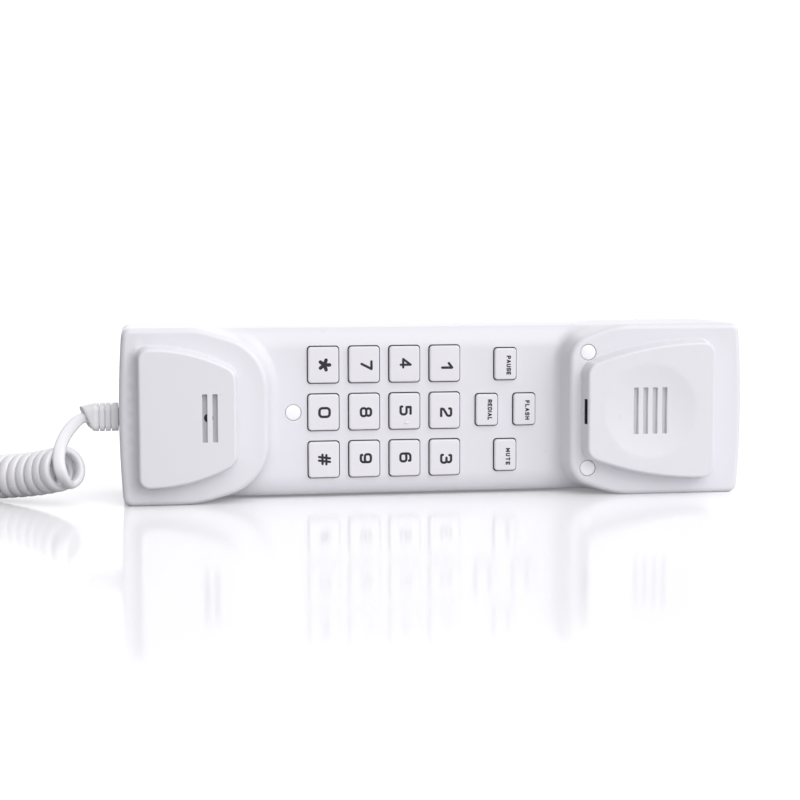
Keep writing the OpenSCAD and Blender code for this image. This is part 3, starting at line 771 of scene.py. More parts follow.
def build_front_shell():
    plan = Plan()
    base = np.array(whole(body_half()))
    gx, gw = inward(BODY, base[:, 0], base[:, 1])
    # the outline's own normal where the middle line mirrors it
    T = platform(base[:, 0] + gx * 0.5, base[:, 1] + gw * 0.5)
    R = edge_size(T)[0]
    for k in range(9):
        t = R * (1 - math.cos(math.radians(11.25 * k)))
        plan.loop(np.c_[base[:, 0] + gx * t, base[:, 1] + gw * t].tolist())
    for wall_, els in ((W_STEP_L, STEP_L), (W_STEP_R, STEP_R)):
        for d in wall_.rings(6, 10, 2):
            half = [p for p in offset_half(els, d, 1.0, 0.5) if p[1] < 31.5 and -92 < p[0] < 78]
            if els is STEP_L:
                line = half + [(x, -w) for x, w in reversed(half) if w > 1e-6]
            else:
                line = [(x, -w) for x, w in reversed(half)] + [p for p in half if p[1] > 1e-6]
            plan.loop(line, closed=False)
    for els in (PAD_L, PAD_R):
        for d in W_PAD.rings(6, 5, 1):
            plan.loop(whole(offset_half(els, d, 0.9, 0.3)))
    for c, hw, hh, cr, rim, kind in OPENINGS:
        for k in (0, 1, 2, 3):
            off = rim * (1 - math.cos(math.radians(30 * k)))
            if kind == "screw":
                ring = [(c[0] + (hw + off) * math.cos(2 * PI * i / 48), c[1] + (hw + off) * math.sin(2 * PI * i / 48)) for i in range(48)]
            else:
                ring = rrect_ring(c, hw, hh, cr, off, 5 if kind == "window" else 3, 5 if kind == "window" else 2)
            plan.loop(ring)
    for cw in (19.6, -19.6):
        for rad in (SPOT_R, SPOT_R + 0.04, SPOT_R + 0.08, SPOT_R + 0.12):
            plan.loop([(51.0 + rad * math.cos(2 * PI * i / 56), cw + rad * math.sin(2 * PI * i / 56)) for i in range(56)])
    lo, hi = catch_slot()
    plan.loop(lo + hi)
    # the dish and its soft rim
    for r in (18.2, 17.2, 16.6, 16.1, 15.6, 15.1, 14.5, 13.6, 12.4, 11.0, 9.4, 7.6):
        n = int(2 * PI * r / 1.5)
        plan.scatter([(EAR_X + r * math.cos(2 * PI * i / n), r * math.sin(2 * PI * i / n)) for i in range(n)], 0)
    plan.scatter(hex_points(2.6, -104, 104, -28, 28), 1)

    slot_x = (min(p[0] for p in lo + hi), max(p[0] for p in lo + hi))

    def keep(x, w):
        ok = sdist(BODY, x, w) > 1e-5
        for c, hw, hh, cr, rim, kind in OPENINGS:
            ok &= rrect_sd(x, w, c, hw, hh, cr) > 1e-5 if kind != "screw" else np.hypot(x - c[0], w - c[1]) > hw * 0.9985
        ok &= ~((x > slot_x[0]) & (x < slot_x[1]) & (np.abs(w) < 4.2))
        return ok

    P, tris = plan.solve(keep)
    B = Builder()
    H = height(P[:, 0], P[:, 1])
    top = B.add(np.c_[P[:, 0], -H, P[:, 1] + ZC].tolist())
    for t in tris.tolist():
        B.face(t, 0)
    N = field_normals(lambda x, w: height(x, w, 0.012), P[:, 0], P[:, 1])
    B.normals(0, top, N)
    outer = border_loops(tris)
    outer.sort(key=len, reverse=True)
    box = lambda lp, Q: (Q[lp].min(0), Q[lp].max(0))
    rim_loop = max(outer, key=lambda lp: float(np.ptp(P[lp][:, 0])))
    holes = [lp for lp in outer if lp is not rim_loop]

    # ---- the inside ----
    inner = Plan()
    in_wall = 2.2
    IW_L, IW_R = Wall(H_PLAT - in_wall, H_FACE - in_wall, 8.0, 0.5, 0.5, 1.9), Wall(H_PLAT - in_wall, H_FACE - in_wall, 8.0, 0.5, 0.5, 1.9)
    IW_PAD = Wall(6.0, 0.0, 8.0, 0.5, 0.5, 1.75)

    def in_height(x, w):
        x, w = np.asarray(x, float), np.asarray(w, float)
        h = np.where(x < 0, IW_L(sdist(STEP_L, x, w)), IW_R(sdist(STEP_R, x, w)))
        return h + np.where(x < 0, IW_PAD(sdist(PAD_L, x, w)), IW_PAD(sdist(PAD_R, x, w)))

    ib = np.array(whole(body_half(0.0, 3.0, 0.8)))
    igx, igw = inward(BODY, ib[:, 0], ib[:, 1])
    inner.loop(np.c_[ib[:, 0] + igx * in_wall, ib[:, 1] + igw * in_wall].tolist())
    for wall_, els in ((IW_L, STEP_L), (IW_R, STEP_R)):
        for d in wall_.rings(2, 2, 0):
            half = [p for p in offset_half(els, d, 2.0, 0.8) if p[1] < 30 and -92 < p[0] < 78]
            line = half + [(x, -w) for x, w in reversed(half) if w > 1e-6] if els is STEP_L else [(x, -w) for x, w in reversed(half)] + [p for p in half if p[1] > 1e-6]
            inner.loop(line, closed=False)
    for els in (PAD_L, PAD_R):
        for d in IW_PAD.rings(2, 2, 0):
            inner.loop(whole(offset_half(els, d, 2.0, 0.8)))
    for c, hw, hh, cr, rim, kind in OPENINGS:
        ring = [(c[0] + hw * math.cos(2 * PI * i / 48), c[1] + hw * math.sin(2 * PI * i / 48)) for i in range(48)] if kind == "screw" else rrect_ring(c, hw, hh, cr, 0, 5 if kind == "window" else 3, 5 if kind == "window" else 24)
        inner.loop(ring)
    inner.scatter(hex_points(8.0, -100, 100, -25, 25), 2)

    def in_keep(x, w):
        ok = sdist(BODY, x, w) > in_wall
        for c, hw, hh, cr, rim, kind in OPENINGS:
            ok &= rrect_sd(x, w, c, hw, hh, cr) > 1e-5 if kind != "screw" else np.hypot(x - c[0], w - c[1]) > hw * 0.9985
        return ok

    Q, it = inner.solve(in_keep)
    IH = in_height(Q[:, 0], Q[:, 1])
    inn = B.add(np.c_[Q[:, 0], -IH, Q[:, 1] + ZC].tolist())
    for a, b, c in it.tolist():
        B.face((inn[c], inn[b], inn[a]), 1)
    in_loops = border_loops(it)
    in_rim = max(in_loops, key=lambda lp: float(np.ptp(Q[lp][:, 0])))
    in_holes = [lp for lp in in_loops if lp is not in_rim]
    in_mid = [Q[lp].mean(0) for lp in in_holes]
    group = 10
    slot_mid = np.array([(slot_x[0] + slot_x[1]) / 2, 0.0])
    for lp in holes:
        mid = (P[lp].min(0) + P[lp].max(0)) / 2
        if np.linalg.norm(mid - slot_mid) < 0.8 and np.ptp(P[lp][:, 0]) < 1.2 and np.ptp(P[lp][:, 1]) > 8:
            # the hook hollow: a blind pocket behind its border; its walls and end are drawn in the dark material,
            # painted shade for a deep hollow
            ids = [top[i] for i in lp]
            deep = B.add([(50.9, B.v[i][1], B.v[i][2]) for i in ids])
            B.strip(ids, deep, group, 1)
            cap = B.add([(50.9, float(np.mean([B.v[i][1] for i in deep])), ZC)])[0]
            n = len(deep)
            for i in range(n):
                B.face((deep[(i + 1) % n], deep[i], cap), group + 1, 1)
            group += 2
            continue
        j = int(np.argmin([np.linalg.norm(mid - (Q[q].min(0) + Q[q].max(0)) / 2) for q in in_holes]))
        ids = [top[i] for i in lp]
        low = [inn[i] for i in in_holes[j]]
        # painted shade: the wall of a key window or screw hole is drawn in the dark material from a little below its
        # rim, as no light gets in there
        sound = np.ptp(P[lp][:, 0]) < 2.5
        sunk = B.add([(B.v[i][0], -22.82 if sound else B.v[i][1] + 0.2, B.v[i][2]) for i in ids])
        B.strip(ids, sunk, group)
        if sound:
            zip_turning(B, sunk, low, group)
        else:
            zip_loops(B, sunk, low, group, 1)
        group += 1

    # ---- outer side wall down to the parting groove ----
    ids = [top[i] for i in rim_loop]
    xy = P[rim_loop]
    gx, gw = inward(BODY, xy[:, 0], xy[:, 1])
    nrm = np.c_[-gx, np.zeros(len(gx)), -gw]
    B.normals(0, ids, nrm)
    prev = ids
    B.normals(2, ids, nrm)
    h0 = H[rim_loop]
    for f in (0.35, 0.7, 1.0):
        hh = h0 + (-(Y_PART - 0.32) - h0) * f
        ring = B.add(np.c_[xy[:, 0], -hh, xy[:, 1] + ZC].tolist())
        B.strip(prev, ring, 2)
        B.normals(2, ring, nrm)
        prev = ring
    ring = B.add(np.c_[xy[:, 0] + gx * 0.32, np.full(len(gx), Y_PART - 0.02), xy[:, 1] + gw * 0.32 + ZC].tolist())
    B.strip(prev, ring, 3)
    prev = ring
    # ---- inner side wall and the flat rim between them ----
    ii = list(reversed(in_rim))
    ids_in = [inn[i] for i in ii]
    low = B.add([(Q[i][0], Y_PART - 0.02, Q[i][1] + ZC) for i in ii])
    B.strip(low, ids_in, 4)  # looks inwards
    zip_loops(B, prev, low[::-1], 5)
    ob = B.build("front_shell_moulding", [MAT["shell"], MAT["dark_plastic"]])
    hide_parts("front_shell")
    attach(ob, "handset")
    return ob


front = build_front_shell()
print("front shell", len(front.data.vertices), len(front.data.polygons))

# =====================================================================================================================
# Back shell
# =====================================================================================================================
def silhouette(t, rc, n_end=18, n_cor=9, n_side=72):
    """The outline t mm inside with corner radius rc, counter-clockwise, always with the same count of points, and the
    outward direction at each."""
    cw = 29.0 - t - rc
    r_end = 345.0 - t
    cx = 240.0 - math.sqrt((r_end - rc) ** 2 - cw**2)  # the left corner's middle
    a = math.atan2(cw, 240.0 - cx)
    half, nrm = [], []
    for i in range(n_end // 2):
        b = PI - a * i / (n_end // 2)
        half.append((240 + r_end * math.cos(b), r_end * math.sin(b)))
        nrm.append((math.cos(b), math.sin(b)))
    for i in range(n_cor + 1):
        b = (PI - a) + (PI / 2 - (PI - a)) * i / n_cor
        half.append((cx + rc * math.cos(b), cw + rc * math.sin(b)))
        nrm.append((math.cos(b), math.sin(b)))
    x0, x1 = cx, -cx
    for i in range(1, n_side):
        x = x0 + (x1 - x0) * i / n_side
        s = (half_width(x + 0.01) - half_width(x - 0.01)) / 0.02
        half.append((x, half_width(x) - t))
        k = math.hypot(1, s)
        nrm.append((-s / k, 1 / k))
    for i in range(n_cor + 1):
        b = PI / 2 + (a - PI / 2) * i / n_cor
        half.append((-cx + rc * math.cos(b), cw + rc * math.sin(b)))
        nrm.append((math.cos(b), math.sin(b)))
    for i in range(1, n_end // 2 + 1):
        b = a - a * i / (n_end // 2)
        half.append((-240 + r_end * math.cos(b), r_end * math.sin(b)))
        nrm.append((math.cos(b), math.sin(b)))
    low = [(x, -w) for x, w in half[1:-1]][::-1]
    lown = [(x, -w) for x, w in nrm[1:-1]][::-1]
    pts = (half + low)[::-1]
    return np.array(pts), np.array((nrm + lown)[::-1])


def build_back_shell():
    B = Builder()

    def ring(t, rc, y):
        p, n = silhouette(t, rc)
        return B.add(np.c_[p[:, 0], np.full(len(p), y), p[:, 1] + ZC].tolist()), n

    groove, ng = ring(0.32, 2.7, Y_PART + 0.02)
    first, n = ring(0.0, 3.0, Y_PART + 0.34)
    B.strip(groove, first, 0)
    flat = lambda n_, c, s: np.c_[n_[:, 0] * c, np.full(len(n_), s), n_[:, 1] * c]
    B.normals(1, first, flat(n, 1, 0))
    prev = first
    for y in (9.0, 14.0, 19.0):
        r, n = ring(0.0, 3.0, y)
        B.strip(prev, r, 1)
        B.normals(1, r, flat(n, 1, 0))
        prev = r
    for k in range(1, 13):
        th = math.radians(7.5 * k)
        t = 6 * (1 - math.cos(th))
        r, n = ring(t, 3 + 0.5 * t, 19 + 6 * math.sin(th))
        B.strip(prev, r, 1)
        B.normals(1, r, flat(n, math.cos(th), math.sin(th)))
        prev = r
    # the flat back, with rings inside it so that its triangles stay even
    for t in (9, 14, 20):
        r, n = ring(t, min(3 + 0.5 * t, 27.5 - t), 25.0)
        B.strip(prev, r, 1)
        B.normals(1, r, flat(n, 0, 1))
        prev = r
    B.face(tuple(reversed(prev)), 1)
    # inside
    lip, _ = ring(2.2, 1.6, Y_PART + 0.02)
    B.strip(lip, groove, 3)
    prev = lip
    for t, rc, y in ((2.2, 1.6, 19.0), (2.8, 1.8, 21.2), (4.4, 2.6, 22.5), (6.2, 3.4, 22.8)):
        r, _ = ring(t, rc, y)
        B.strip(r, prev, 2)
        prev = r
    B.face(tuple(prev), 2)
    ob = B.build("back_shell_moulding", [MAT["shell"]])
    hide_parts("back_shell")
    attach(ob, "handset")
    return ob


back = build_back_shell()


# =====================================================================================================================
# Keys
# =====================================================================================================================
KEY_TOP = 10.8
CROWN = 0.07


def rr_ring(c, hw, hh, r, n_cor=7, n_side=4):
    """A round-cornered rectangle with a fixed count of points, counter-clockwise, and its outward directions."""
    pts, nrm = [], []
    for sx, sw, a0 in ((1, 1, 0), (-1, 1, 90), (-1, -1, 180), (1, -1, 270)):
        for i in range(n_cor + 1):
            a = math.radians(a0 + 90 * i / n_cor)
            pts.append((c[0] + sx * (hw - r) + r * math.cos(a), c[1] + sw * (hh - r) + r * math.sin(a)))
            nrm.append((math.cos(a), math.sin(a)))
        nx, nw = {0: (-1, 1), 90: (-1, -1), 180: (1, -1), 270: (1, 1)}[a0]
        b = math.radians(a0 + 90)
        q = (c[0] + nx * (hw - r) + r * math.cos(b), c[1] + nw * (hh - r) + r * math.sin(b))
        p = pts[-1]
        for i in range(1, n_side):
            pts.append((p[0] + (q[0] - p[0]) * i / n_side, p[1] + (q[1] - p[1]) * i / n_side))
            nrm.append((math.cos(b), math.sin(b)))
    return np.array(pts), np.array(nrm)


def build_key(name, c, w, h, nib=None):
    B = Builder()
    hw, hh = w / 2, h / 2
    rim = 0.5

    def ring(inset, y, r, n_own=None, group=0):
        p, n = rr_ring(c, hw - inset, hh - inset, max(0.05, r))
        ids = B.add(np.c_[p[:, 0], np.full(len(p), y), p[:, 1] + ZC].tolist())
        if n_own:
            B.normals(group, ids, np.c_[n[:, 0] * n_own[0], np.full(len(n), -n_own[1]), n[:, 1] * n_own[0]])
        return ids

    # cap: drafted skirt, round rim, faintly crowned face
    crown = lambda f: CROWN * (1 - f * f)
    rings = []
    mid = B.add([(c[0], -KEY_TOP, c[1] + ZC)])[0]
    B.normals(0, [mid], [(0, -1, 0)])
    last = None
    for f in (0.3, 0.6, 0.85, 1.0):
        inset = rim + (1 - f) * (hw - rim)
        inh = rim + (1 - f) * (hh - rim)
        p, n = rr_ring((0, 0), hw - rim, hh - rim, 0.62)
        ids = B.add([(c[0] + q[0] * f, -(KEY_TOP - CROWN * f * f), c[1] + q[1] * f + ZC) for q in p])
        slope = 2 * CROWN * f
        B.normals(0, ids, [np.array((slope * q[0] / (hw * hw), -1.0, slope * q[1] / (hh * hh))) / math.sqrt(1 + (slope * q[0] / hw**2) ** 2 + (slope * q[1] / hh**2) ** 2) for q in p])
        if last is None:
            for i in range(len(ids)):
                B.face((mid, ids[i], ids[(i + 1) % len(ids)]), 0)
        else:
            B.strip(last, ids, 0)
        last = ids
    for k in range(1, 7):
        th = math.radians(14 * k)
        ids = ring(rim * (1 - math.sin(th)), -(KEY_TOP - CROWN - rim * (1 - math.cos(th))), 0.62 + 0.42 * math.sin(th), (math.sin(th), math.cos(th)))
        B.strip(last, ids, 0)
        last = ids
    waist = ring(-0.0, -9.3, 1.05, (0.995, 0.05))
    B.strip(last, waist, 0)
    # painted shade: from a little below the keypad face, the skirt and the flange behind the case are drawn in the dark
    # material, for the deep shade in the gap round the key
    low = ring(-0.0, -7.15, 1.05, (0.995, 0.05), 8)
    B.strip(waist, low, 8, 1)
    # flange behind the case
    a = ring(-0.8, -7.08, 1.2)
    B.strip(low, a, 2, 1)
    b = ring(-0.8, -6.2, 1.2)
    B.strip(a, b, 3)
    p, _ = rr_ring(c, 0.1, 0.1, 0.05)
    inner = ring(0.9, -6.2, 0.5)
    B.strip(b, inner, 4)
    up = ring(1.1, -9.4, 0.4)
    B.strip(inner, up, 5)
    B.face(tuple(reversed(up)), 6)
    if nib:
        # a small round-ended ridge for the fingertip
        nx, nw, lx, lw, hgt = nib
        prev = None
        tip = B.add([(c[0] + nx, -(KEY_TOP + hgt), c[1] + nw + ZC)])[0]
        for k in range(1, 7):
            th = math.radians(15 * k)
            s, co = math.sin(th), math.cos(th)
            ids = B.add([(c[0] + nx + lx * s * math.cos(2 * PI * i / 24), -(KEY_TOP - 0.12 + (hgt + 0.12) * co), c[1] + nw + lw * s * math.sin(2 * PI * i / 24) + ZC) for i in range(24)])
            if prev is None:
                for i in range(24):
                    B.face((tip, ids[i], ids[(i + 1) % 24]), 7)
            else:
                B.strip(prev, ids, 7)
            prev = ids
    ob = B.build(name + "_cap", [MAT["key"], MAT["dark_plastic"]])
    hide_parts(name)
    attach(ob, name)
    return ob


# ---------- legends: plain strokes, drawn as (u right, v up) in millimetres ----------
def rounded_path(pts, closed=False):
    """A polyline whose corners (u, v, r) are rounded."""
    n = len(pts)
    out = []
    for i, p in enumerate(pts):
        r = p[2] if len(p) > 2 else 0
        if r <= 0 or (not closed and i in (0, n - 1)):
            out.append((p[0], p[1]))
            continue
        a, b = pts[i - 1], pts[(i + 1) % n]
        v0 = np.array((a[0] - p[0], a[1] - p[1]), float)
        v1 = np.array((b[0] - p[0], b[1] - p[1]), float)
        l0, l1 = np.linalg.norm(v0), np.linalg.norm(v1)
        v0, v1 = v0 / l0, v1 / l1
        ang = math.acos(max(-1, min(1, float(v0 @ v1))))
        t = min(r / math.tan(ang / 2), l0 * 0.499, l1 * 0.499)
        r = t * math.tan(ang / 2)
        c = np.array(p[:2]) + (v0 + v1) / np.linalg.norm(v0 + v1) * (r / math.sin(ang / 2))
        s, e = np.array(p[:2]) + v0 * t, np.array(p[:2]) + v1 * t
        a0, a1 = math.atan2(*(s - c)[::-1]), math.atan2(*(e - c)[::-1])
        d = (a1 - a0 + PI) % (2 * PI) - PI
        m = 6
        out += [(c[0] + r * math.cos(a0 + d * k / m), c[1] + r * math.sin(a0 + d * k / m)) for k in range(m + 1)]
    if closed:
        out.append(out[0])
    return out


def digit_paths():
    six = [rounded_path([(0, 0, 0.8), (2.65, 0, 0.8), (2.65, 2.02, 0.75), (0, 2.02, 0.75)], True), rounded_path([(0, 1.2), (0, 3.4, 0.95), (2.45, 3.4, 0.6), (2.45, 2.9)])]
    nine = [[(2.65 - u, 3.4 - v) for u, v in p] for p in six]
    return {
        "0": ([rounded_path([(0, 0, 1.0), (2.9, 0, 1.0), (2.9, 3.4, 1.0), (0, 3.4, 1.0)], True)], 0.84),
        "1": ([rounded_path([(0.05, 2.25), (1.55, 3.35, 0), (1.55, 0)])], 0.84),
        "2": ([rounded_path([(0.05, 2.75), (0.05, 3.4, 0.7), (2.5, 3.4, 0.8), (2.5, 2.2, 0.7), (0.1, 0.75, 0.6), (0.1, 0, 0.0), (2.55, 0)])], 0.8),
        "3": (
            [
                rounded_path([(0.1, 2.85), (0.1, 3.4, 0.6), (2.5, 3.4, 0.75), (2.5, 1.82, 0.7), (0.95, 1.82)]),
                rounded_path([(0.95, 1.82), (2.65, 1.82, 0.7), (2.65, 0, 0.8), (0, 0, 0.65), (0, 0.6)]),
            ],
            0.8,
        ),
        "4": ([rounded_path([(2.9, 0.85), (0.1, 0.85), (2.0, 3.35), (2.0, 0)])], 0.78),
        "5": ([rounded_path([(2.45, 3.4), (0.2, 3.4), (0.2, 2.02), (2.65, 2.02, 0.8), (2.65, 0, 0.85), (0, 0, 0.6), (0, 0.55)])], 0.8),
        "6": (six, 0.8),
        "7": ([rounded_path([(0.0, 3.35), (2.5, 3.35), (0.8, 0)])], 0.82),
        "8": (
            [
                rounded_path([(0.1, 1.8, 0.7), (2.55, 1.8, 0.7), (2.55, 3.4, 0.8), (0.1, 3.4, 0.8)], True),
                rounded_path([(0, 0, 0.8), (2.65, 0, 0.8), (2.65, 1.8, 0.75), (0, 1.8, 0.75)], True),
            ],
            0.8,
        ),
        "9": (nine, 0.8),
        "*": ([[(1.7, 1.7), (1.7 + 1.7 * math.sin(2 * PI * k / 5), 1.7 + 1.7 * math.cos(2 * PI * k / 5))] for k in range(5)], 1.2),
        "#": ([[(0, 1.05), (3.1, 1.05)], [(0.15, 2.35), (3.25, 2.35)], [(0.75, -0.1), (1.25, 3.55)], [(1.95, -0.1), (2.45, 3.55)]], 0.78),
    }


def letter_paths():
    h, w = 1.14, 0.78
    return {
        "P": ([rounded_path([(0, 0), (0, h), (w, h, 0.27), (w, 0.5, 0.27), (0, 0.5)])], w),
        "A": ([[(0, 0), (0.44, h), (0.88, 0)], [(0.14, 0.34), (0.74, 0.34)]], 0.88),
        "U": ([rounded_path([(0, h), (0, 0, 0.36), (w, 0, 0.36), (w, h)])], w),
        "S": ([rounded_path([(w, 0.98), (w * 0.95, h, 0.2), (0, h, 0.28), (0, 0.6, 0.25), (w, 0.56, 0.25), (w, 0, 0.28), (0, 0, 0.2), (0, 0.16)])], w),
        "E": ([[(0.7, h), (0, h), (0, 0), (0.7, 0)], [(0, 0.59), (0.62, 0.59)]], 0.7),
        "R": ([rounded_path([(0, 0), (0, h), (w, h, 0.27), (w, 0.52, 0.27), (0, 0.52)]), [(0.38, 0.52), (w, 0)]], w),
        "D": ([rounded_path([(0, 0), (0, h), (0.8, h, 0.5), (0.8, 0, 0.5), (0, 0)])], 0.8),
        "I": ([[(0, 0), (0, h)]], 0.0),
        "L": ([[(0, h), (0, 0), (0.62, 0)]], 0.62),
        "F": ([[(0.68, h), (0, h), (0, 0)], [(0, 0.55), (0.6, 0.55)]], 0.68),
        "H": ([[(0, 0), (0, h)], [(0.8, 0), (0.8, h)], [(0, 0.58), (0.8, 0.58)]], 0.8),
        "M": ([[(0, 0), (0, h), (0.48, 0.3), (0.96, h), (0.96, 0)]], 0.96),
        "T": ([[(0, h), (0.8, h)], [(0.4, h), (0.4, 0)]], 0.8),
    }


def legend(name, body, centre, paths, stroke, size, proud=0.022):
    """Stroke paths joined into one flat printed shape. size is the width and height that the strokes' middle lines fill.
    The word's up is +X and its right is -Z, as on the real thing, whose keys are read with the earpiece up."""
    r = stroke / 2
    pts, edges, faces = [], [], []

    def poly(q):
        i0 = len(pts)
        pts.extend(Vector(p) for p in q)
        n = len(q)
        edges.extend((i0 + i, i0 + (i + 1) % n) for i in range(n))
        faces.append(list(range(i0, i0 + n)))

    segs = []
    for p in paths:
        for a, b in zip(p, p[1:]):
            segs.append((a, b))
    for a, b in segs:
        d = np.array(b, float) - np.array(a, float)
        ln = np.linalg.norm(d)
        if ln < 1e-6:
            continue
        base = math.atan2(d[1], d[0])
        # round ends: a capsule, each end drawn with seven points on a half circle
        q = []
        for k in range(7):
            t = base - PI / 2 + PI * k / 6
            q.append((b[0] + r * math.cos(t), b[1] + r * math.sin(t)))
        for k in range(7):
            t = base + PI / 2 + PI * k / 6
            q.append((a[0] + r * math.cos(t), a[1] + r * math.sin(t)))
        poly(q)
    co, _, fs, _, _, orig = delaunay_2d_cdt(pts, edges, faces, 0, 1e-5, True)
    tri = [f for f, o in zip(fs, orig) if len(f) == 3 and len(o) > 0]
    P = np.array([(c[0], c[1]) for c in co])
    T = np.array(tri, int)
    a, b, c = P[T[:, 0]], P[T[:, 1]], P[T[:, 2]]
    area = ((b - a)[:, 0] * (c - a)[:, 1] - (b - a)[:, 1] * (c - a)[:, 0]) / 2
    T[area < 0] = T[area < 0][:, ::-1]
    T = T[np.abs(area) > 1e-7]
    used = np.unique(T)
    back_ = np.full(len(P), -1)
    back_[used] = np.arange(len(used))
    P, T = P[used], back_[T]
    B = Builder()
    top = KEY_TOP + proud
    # glyph (u, v) -> (x, w): x from v, w from -u. That keeps the turning sense: (u, v) -> (v, -u) is a rotation
    X = centre[0] + (P[:, 1] - size[1] / 2)
    W = centre[1] - (P[:, 0] - size[0] / 2)
    f = B.add(np.c_[X, np.full(len(X), -top), W + ZC].tolist())
    g = B.add(np.c_[X, np.full(len(X), -(KEY_TOP - 0.11)), W + ZC].tolist())
    for t in T.tolist():
        B.face([f[i] for i in t], 0)
        B.face([g[i] for i in reversed(t)], 1)
    for lp in border_loops(T):
        B.strip([f[i] for i in lp], [g[i] for i in lp], 2)
    ob = B.build(name, [MAT["ink"]])
    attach(ob, body)
    return ob


DIGITS = digit_paths()
LETTERS = letter_paths()
# legend, node, column, row, nudge of the legend on the key
KEYS = [
    ("*", "key_star", 0, 0, (0.5, 0.0)),
    ("0", "key_0", 0, 1, (0.25, 0.0)),
    ("#", "key_hash", 0, 2, (0.15, 0.1)),
    ("7", "key_7", 1, 0, (0.75, -0.25)),
    ("8", "key_8", 1, 1, (0.5, -0.1)),
    ("9", "key_9", 1, 2, (0.4, 0.25)),
    ("4", "key_4", 2, 0, (0.3, 0.25)),
    ("5", "key_5", 2, 1, (0.25, 0.25)),
    ("6", "key_6", 2, 2, (0.15, 0.25)),
    ("1", "key_1", 3, 0, (0.75, -0.65)),
    ("2", "key_2", 3, 1, (0.4, -0.6)),
    ("3", "key_3", 3, 2, (0.4, -0.5)),
]
for glyph, node, ci, ri, (dx, dw) in KEYS:
    c = (COLS[ci], ROWS[ri])
    build_key(node, c, KEY_W, KEY_H, nib=(0.65, -3.9, 0.95, 0.5, 0.34) if node == "key_5" else None)
    paths, stroke = DIGITS[glyph]
    allp = np.array([q for p in paths for q in p])
    lo_, hi_ = allp.min(0), allp.max(0)
    paths = [[(u - lo_[0], v - lo_[1]) for u, v in p] for p in paths]
    legend("legend_" + node[4:], node, (c[0] + dx, c[1] + dw), paths, stroke, tuple(hi_ - lo_))

WORDS = {"pause": (6.5, 1.05, -0.45), "redial": (7.0, 0.95, 0.0), "flash": (6.65, 0.95, -0.3), "mute": (5.75, 0.85, -0.55)}
for word, (length, dx, dw) in WORDS.items():
    c = FKEYS[word]
    build_key("key_" + word, c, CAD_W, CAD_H)
    widths = [LETTERS[ch][1] for ch in word.upper()]
    gap = (length - 0.39 - sum(widths)) / (len(word) - 1)
    paths, u = [], 0.0
    for ch, wd in zip(word.upper(), widths):
        paths += [[(u + a, b) for a, b in p] for p in LETTERS[ch][0]]
        u += wd + gap
    legend("legend_" + word, "key_" + word, (c[0] + dx, c[1] + dw), paths, 0.39, (length - 0.39, 1.14))


# =====================================================================================================================
# Screw-hole plugs
# =====================================================================================================================
def build_plug_cap(name, c, base_h, top_h):
    """A push-in plug with a low dome and a rounded edge."""
    B = Builder()
    r = 2.6
    n = 48
    mid = B.add([(c[0], -top_h, c[1] + ZC)])[0]
    last = None
    prof = [(0.8, top_h - 0.02), (1.5, top_h - 0.06), (2.0, top_h - 0.12), (2.3, top_h - 0.2)]
    prof += [(2.3 + 0.3 * math.sin(math.radians(a)), top_h - 0.5 + 0.3 * math.cos(math.radians(a))) for a in (25, 50, 70, 90)]
    prof += [(r, base_h - 2.1)]
    for rad, h in prof:
        ids = B.add([(c[0] + rad * math.cos(2 * PI * i / n), -h, c[1] + rad * math.sin(2 * PI * i / n) + ZC) for i in range(n)])
        if last is None:
            for i in range(n):
                B.face((mid, ids[i], ids[(i + 1) % n]), 0)
        else:
            B.strip(last, ids, 0)
        last = ids
    foot = B.add([(c[0] + 1.9 * math.cos(2 * PI * i / n), -(base_h - 2.5), c[1] + 1.9 * math.sin(2 * PI * i / n) + ZC) for i in range(n)])
    B.strip(last, foot, 1)
    B.face(tuple(reversed(foot)), 2)
    ob = B.build(name + "_cap", [MAT["plug_cap"]])
    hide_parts(name)
    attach(ob, "handset")


build_plug_cap("screw_plug_a", SCREWS["a"], H_FACE, H_FACE + 0.16)
build_plug_cap("screw_plug_b", SCREWS["b"], H_PLAT, H_PLAT + 0.1)
build_plug_cap("screw_plug_c", SCREWS["c"], H_PLAT, H_PLAT + 0.1)


# =====================================================================================================================
# Floors of the sound slots, with the microphone's sound hole between two of them
# =====================================================================================================================
def build_slot_floors(name, mid, count, y0, hole=None):
    B = Builder()
    for i in range(count):
        c = (mid + (i - (count - 1) / 2) * 3.3, 0.0)
        ring = rrect_ring(c, 0.8, 7.8, 0.28, -0.01, 3, 12)
        plan = Plan()
        plan.loop(ring)
        if hole:
            n = 40
            arc = [(hole[0] + hole[2] * math.cos(2 * PI * k / n), hole[1] + hole[2] * math.sin(2 * PI * k / n)) for k in range(n)]
            plan.loop(arc)
        clear = lambda x, w: np.hypot(x - hole[0], w - hole[1]) > hole[2] if hole else np.full(x.shape, True)
        P, tris = plan.solve(lambda x, w: (rrect_sd(x, w, c, 0.8, 7.8, 0.28) < -0.005) & clear(x, w))
        top = B.add([(p[0], y0, p[1] + ZC) for p in P])
        bot = B.add([(p[0], y0 + 0.16, p[1] + ZC) for p in P])
        for a, b, d in tris.tolist():
            B.face((top[a], top[b], top[d]), 0)
            B.face((bot[d], bot[b], bot[a]), 1)
        for lp in border_loops(tris):
            B.strip([top[k] for k in lp], [bot[k] for k in lp], 2)
    if hole:  # the sound hole is a short dark well
        n = 40
        ring = lambda y: B.add([(hole[0] + hole[2] * math.cos(2 * PI * k / n), y, hole[1] + hole[2] * math.sin(2 * PI * k / n) + ZC) for k in range(n)])
        a, b = ring(y0 + 0.05), ring(y0 + 0.8)
        B.strip(b, a, 3, 1)
        B.face(tuple(b), 4, 1)
    ob = B.build(name, [MAT["slot_floor"], MAT["dark_plastic"]])
    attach(ob, "handset")
    return ob


build_slot_floors("slot_floors_mic", MIC_X, 2, -23.0, (MIC_X - 0.35, 0.0, 1.5))
build_slot_floors("slot_floors_ear", EAR_X, 4, -22.97)


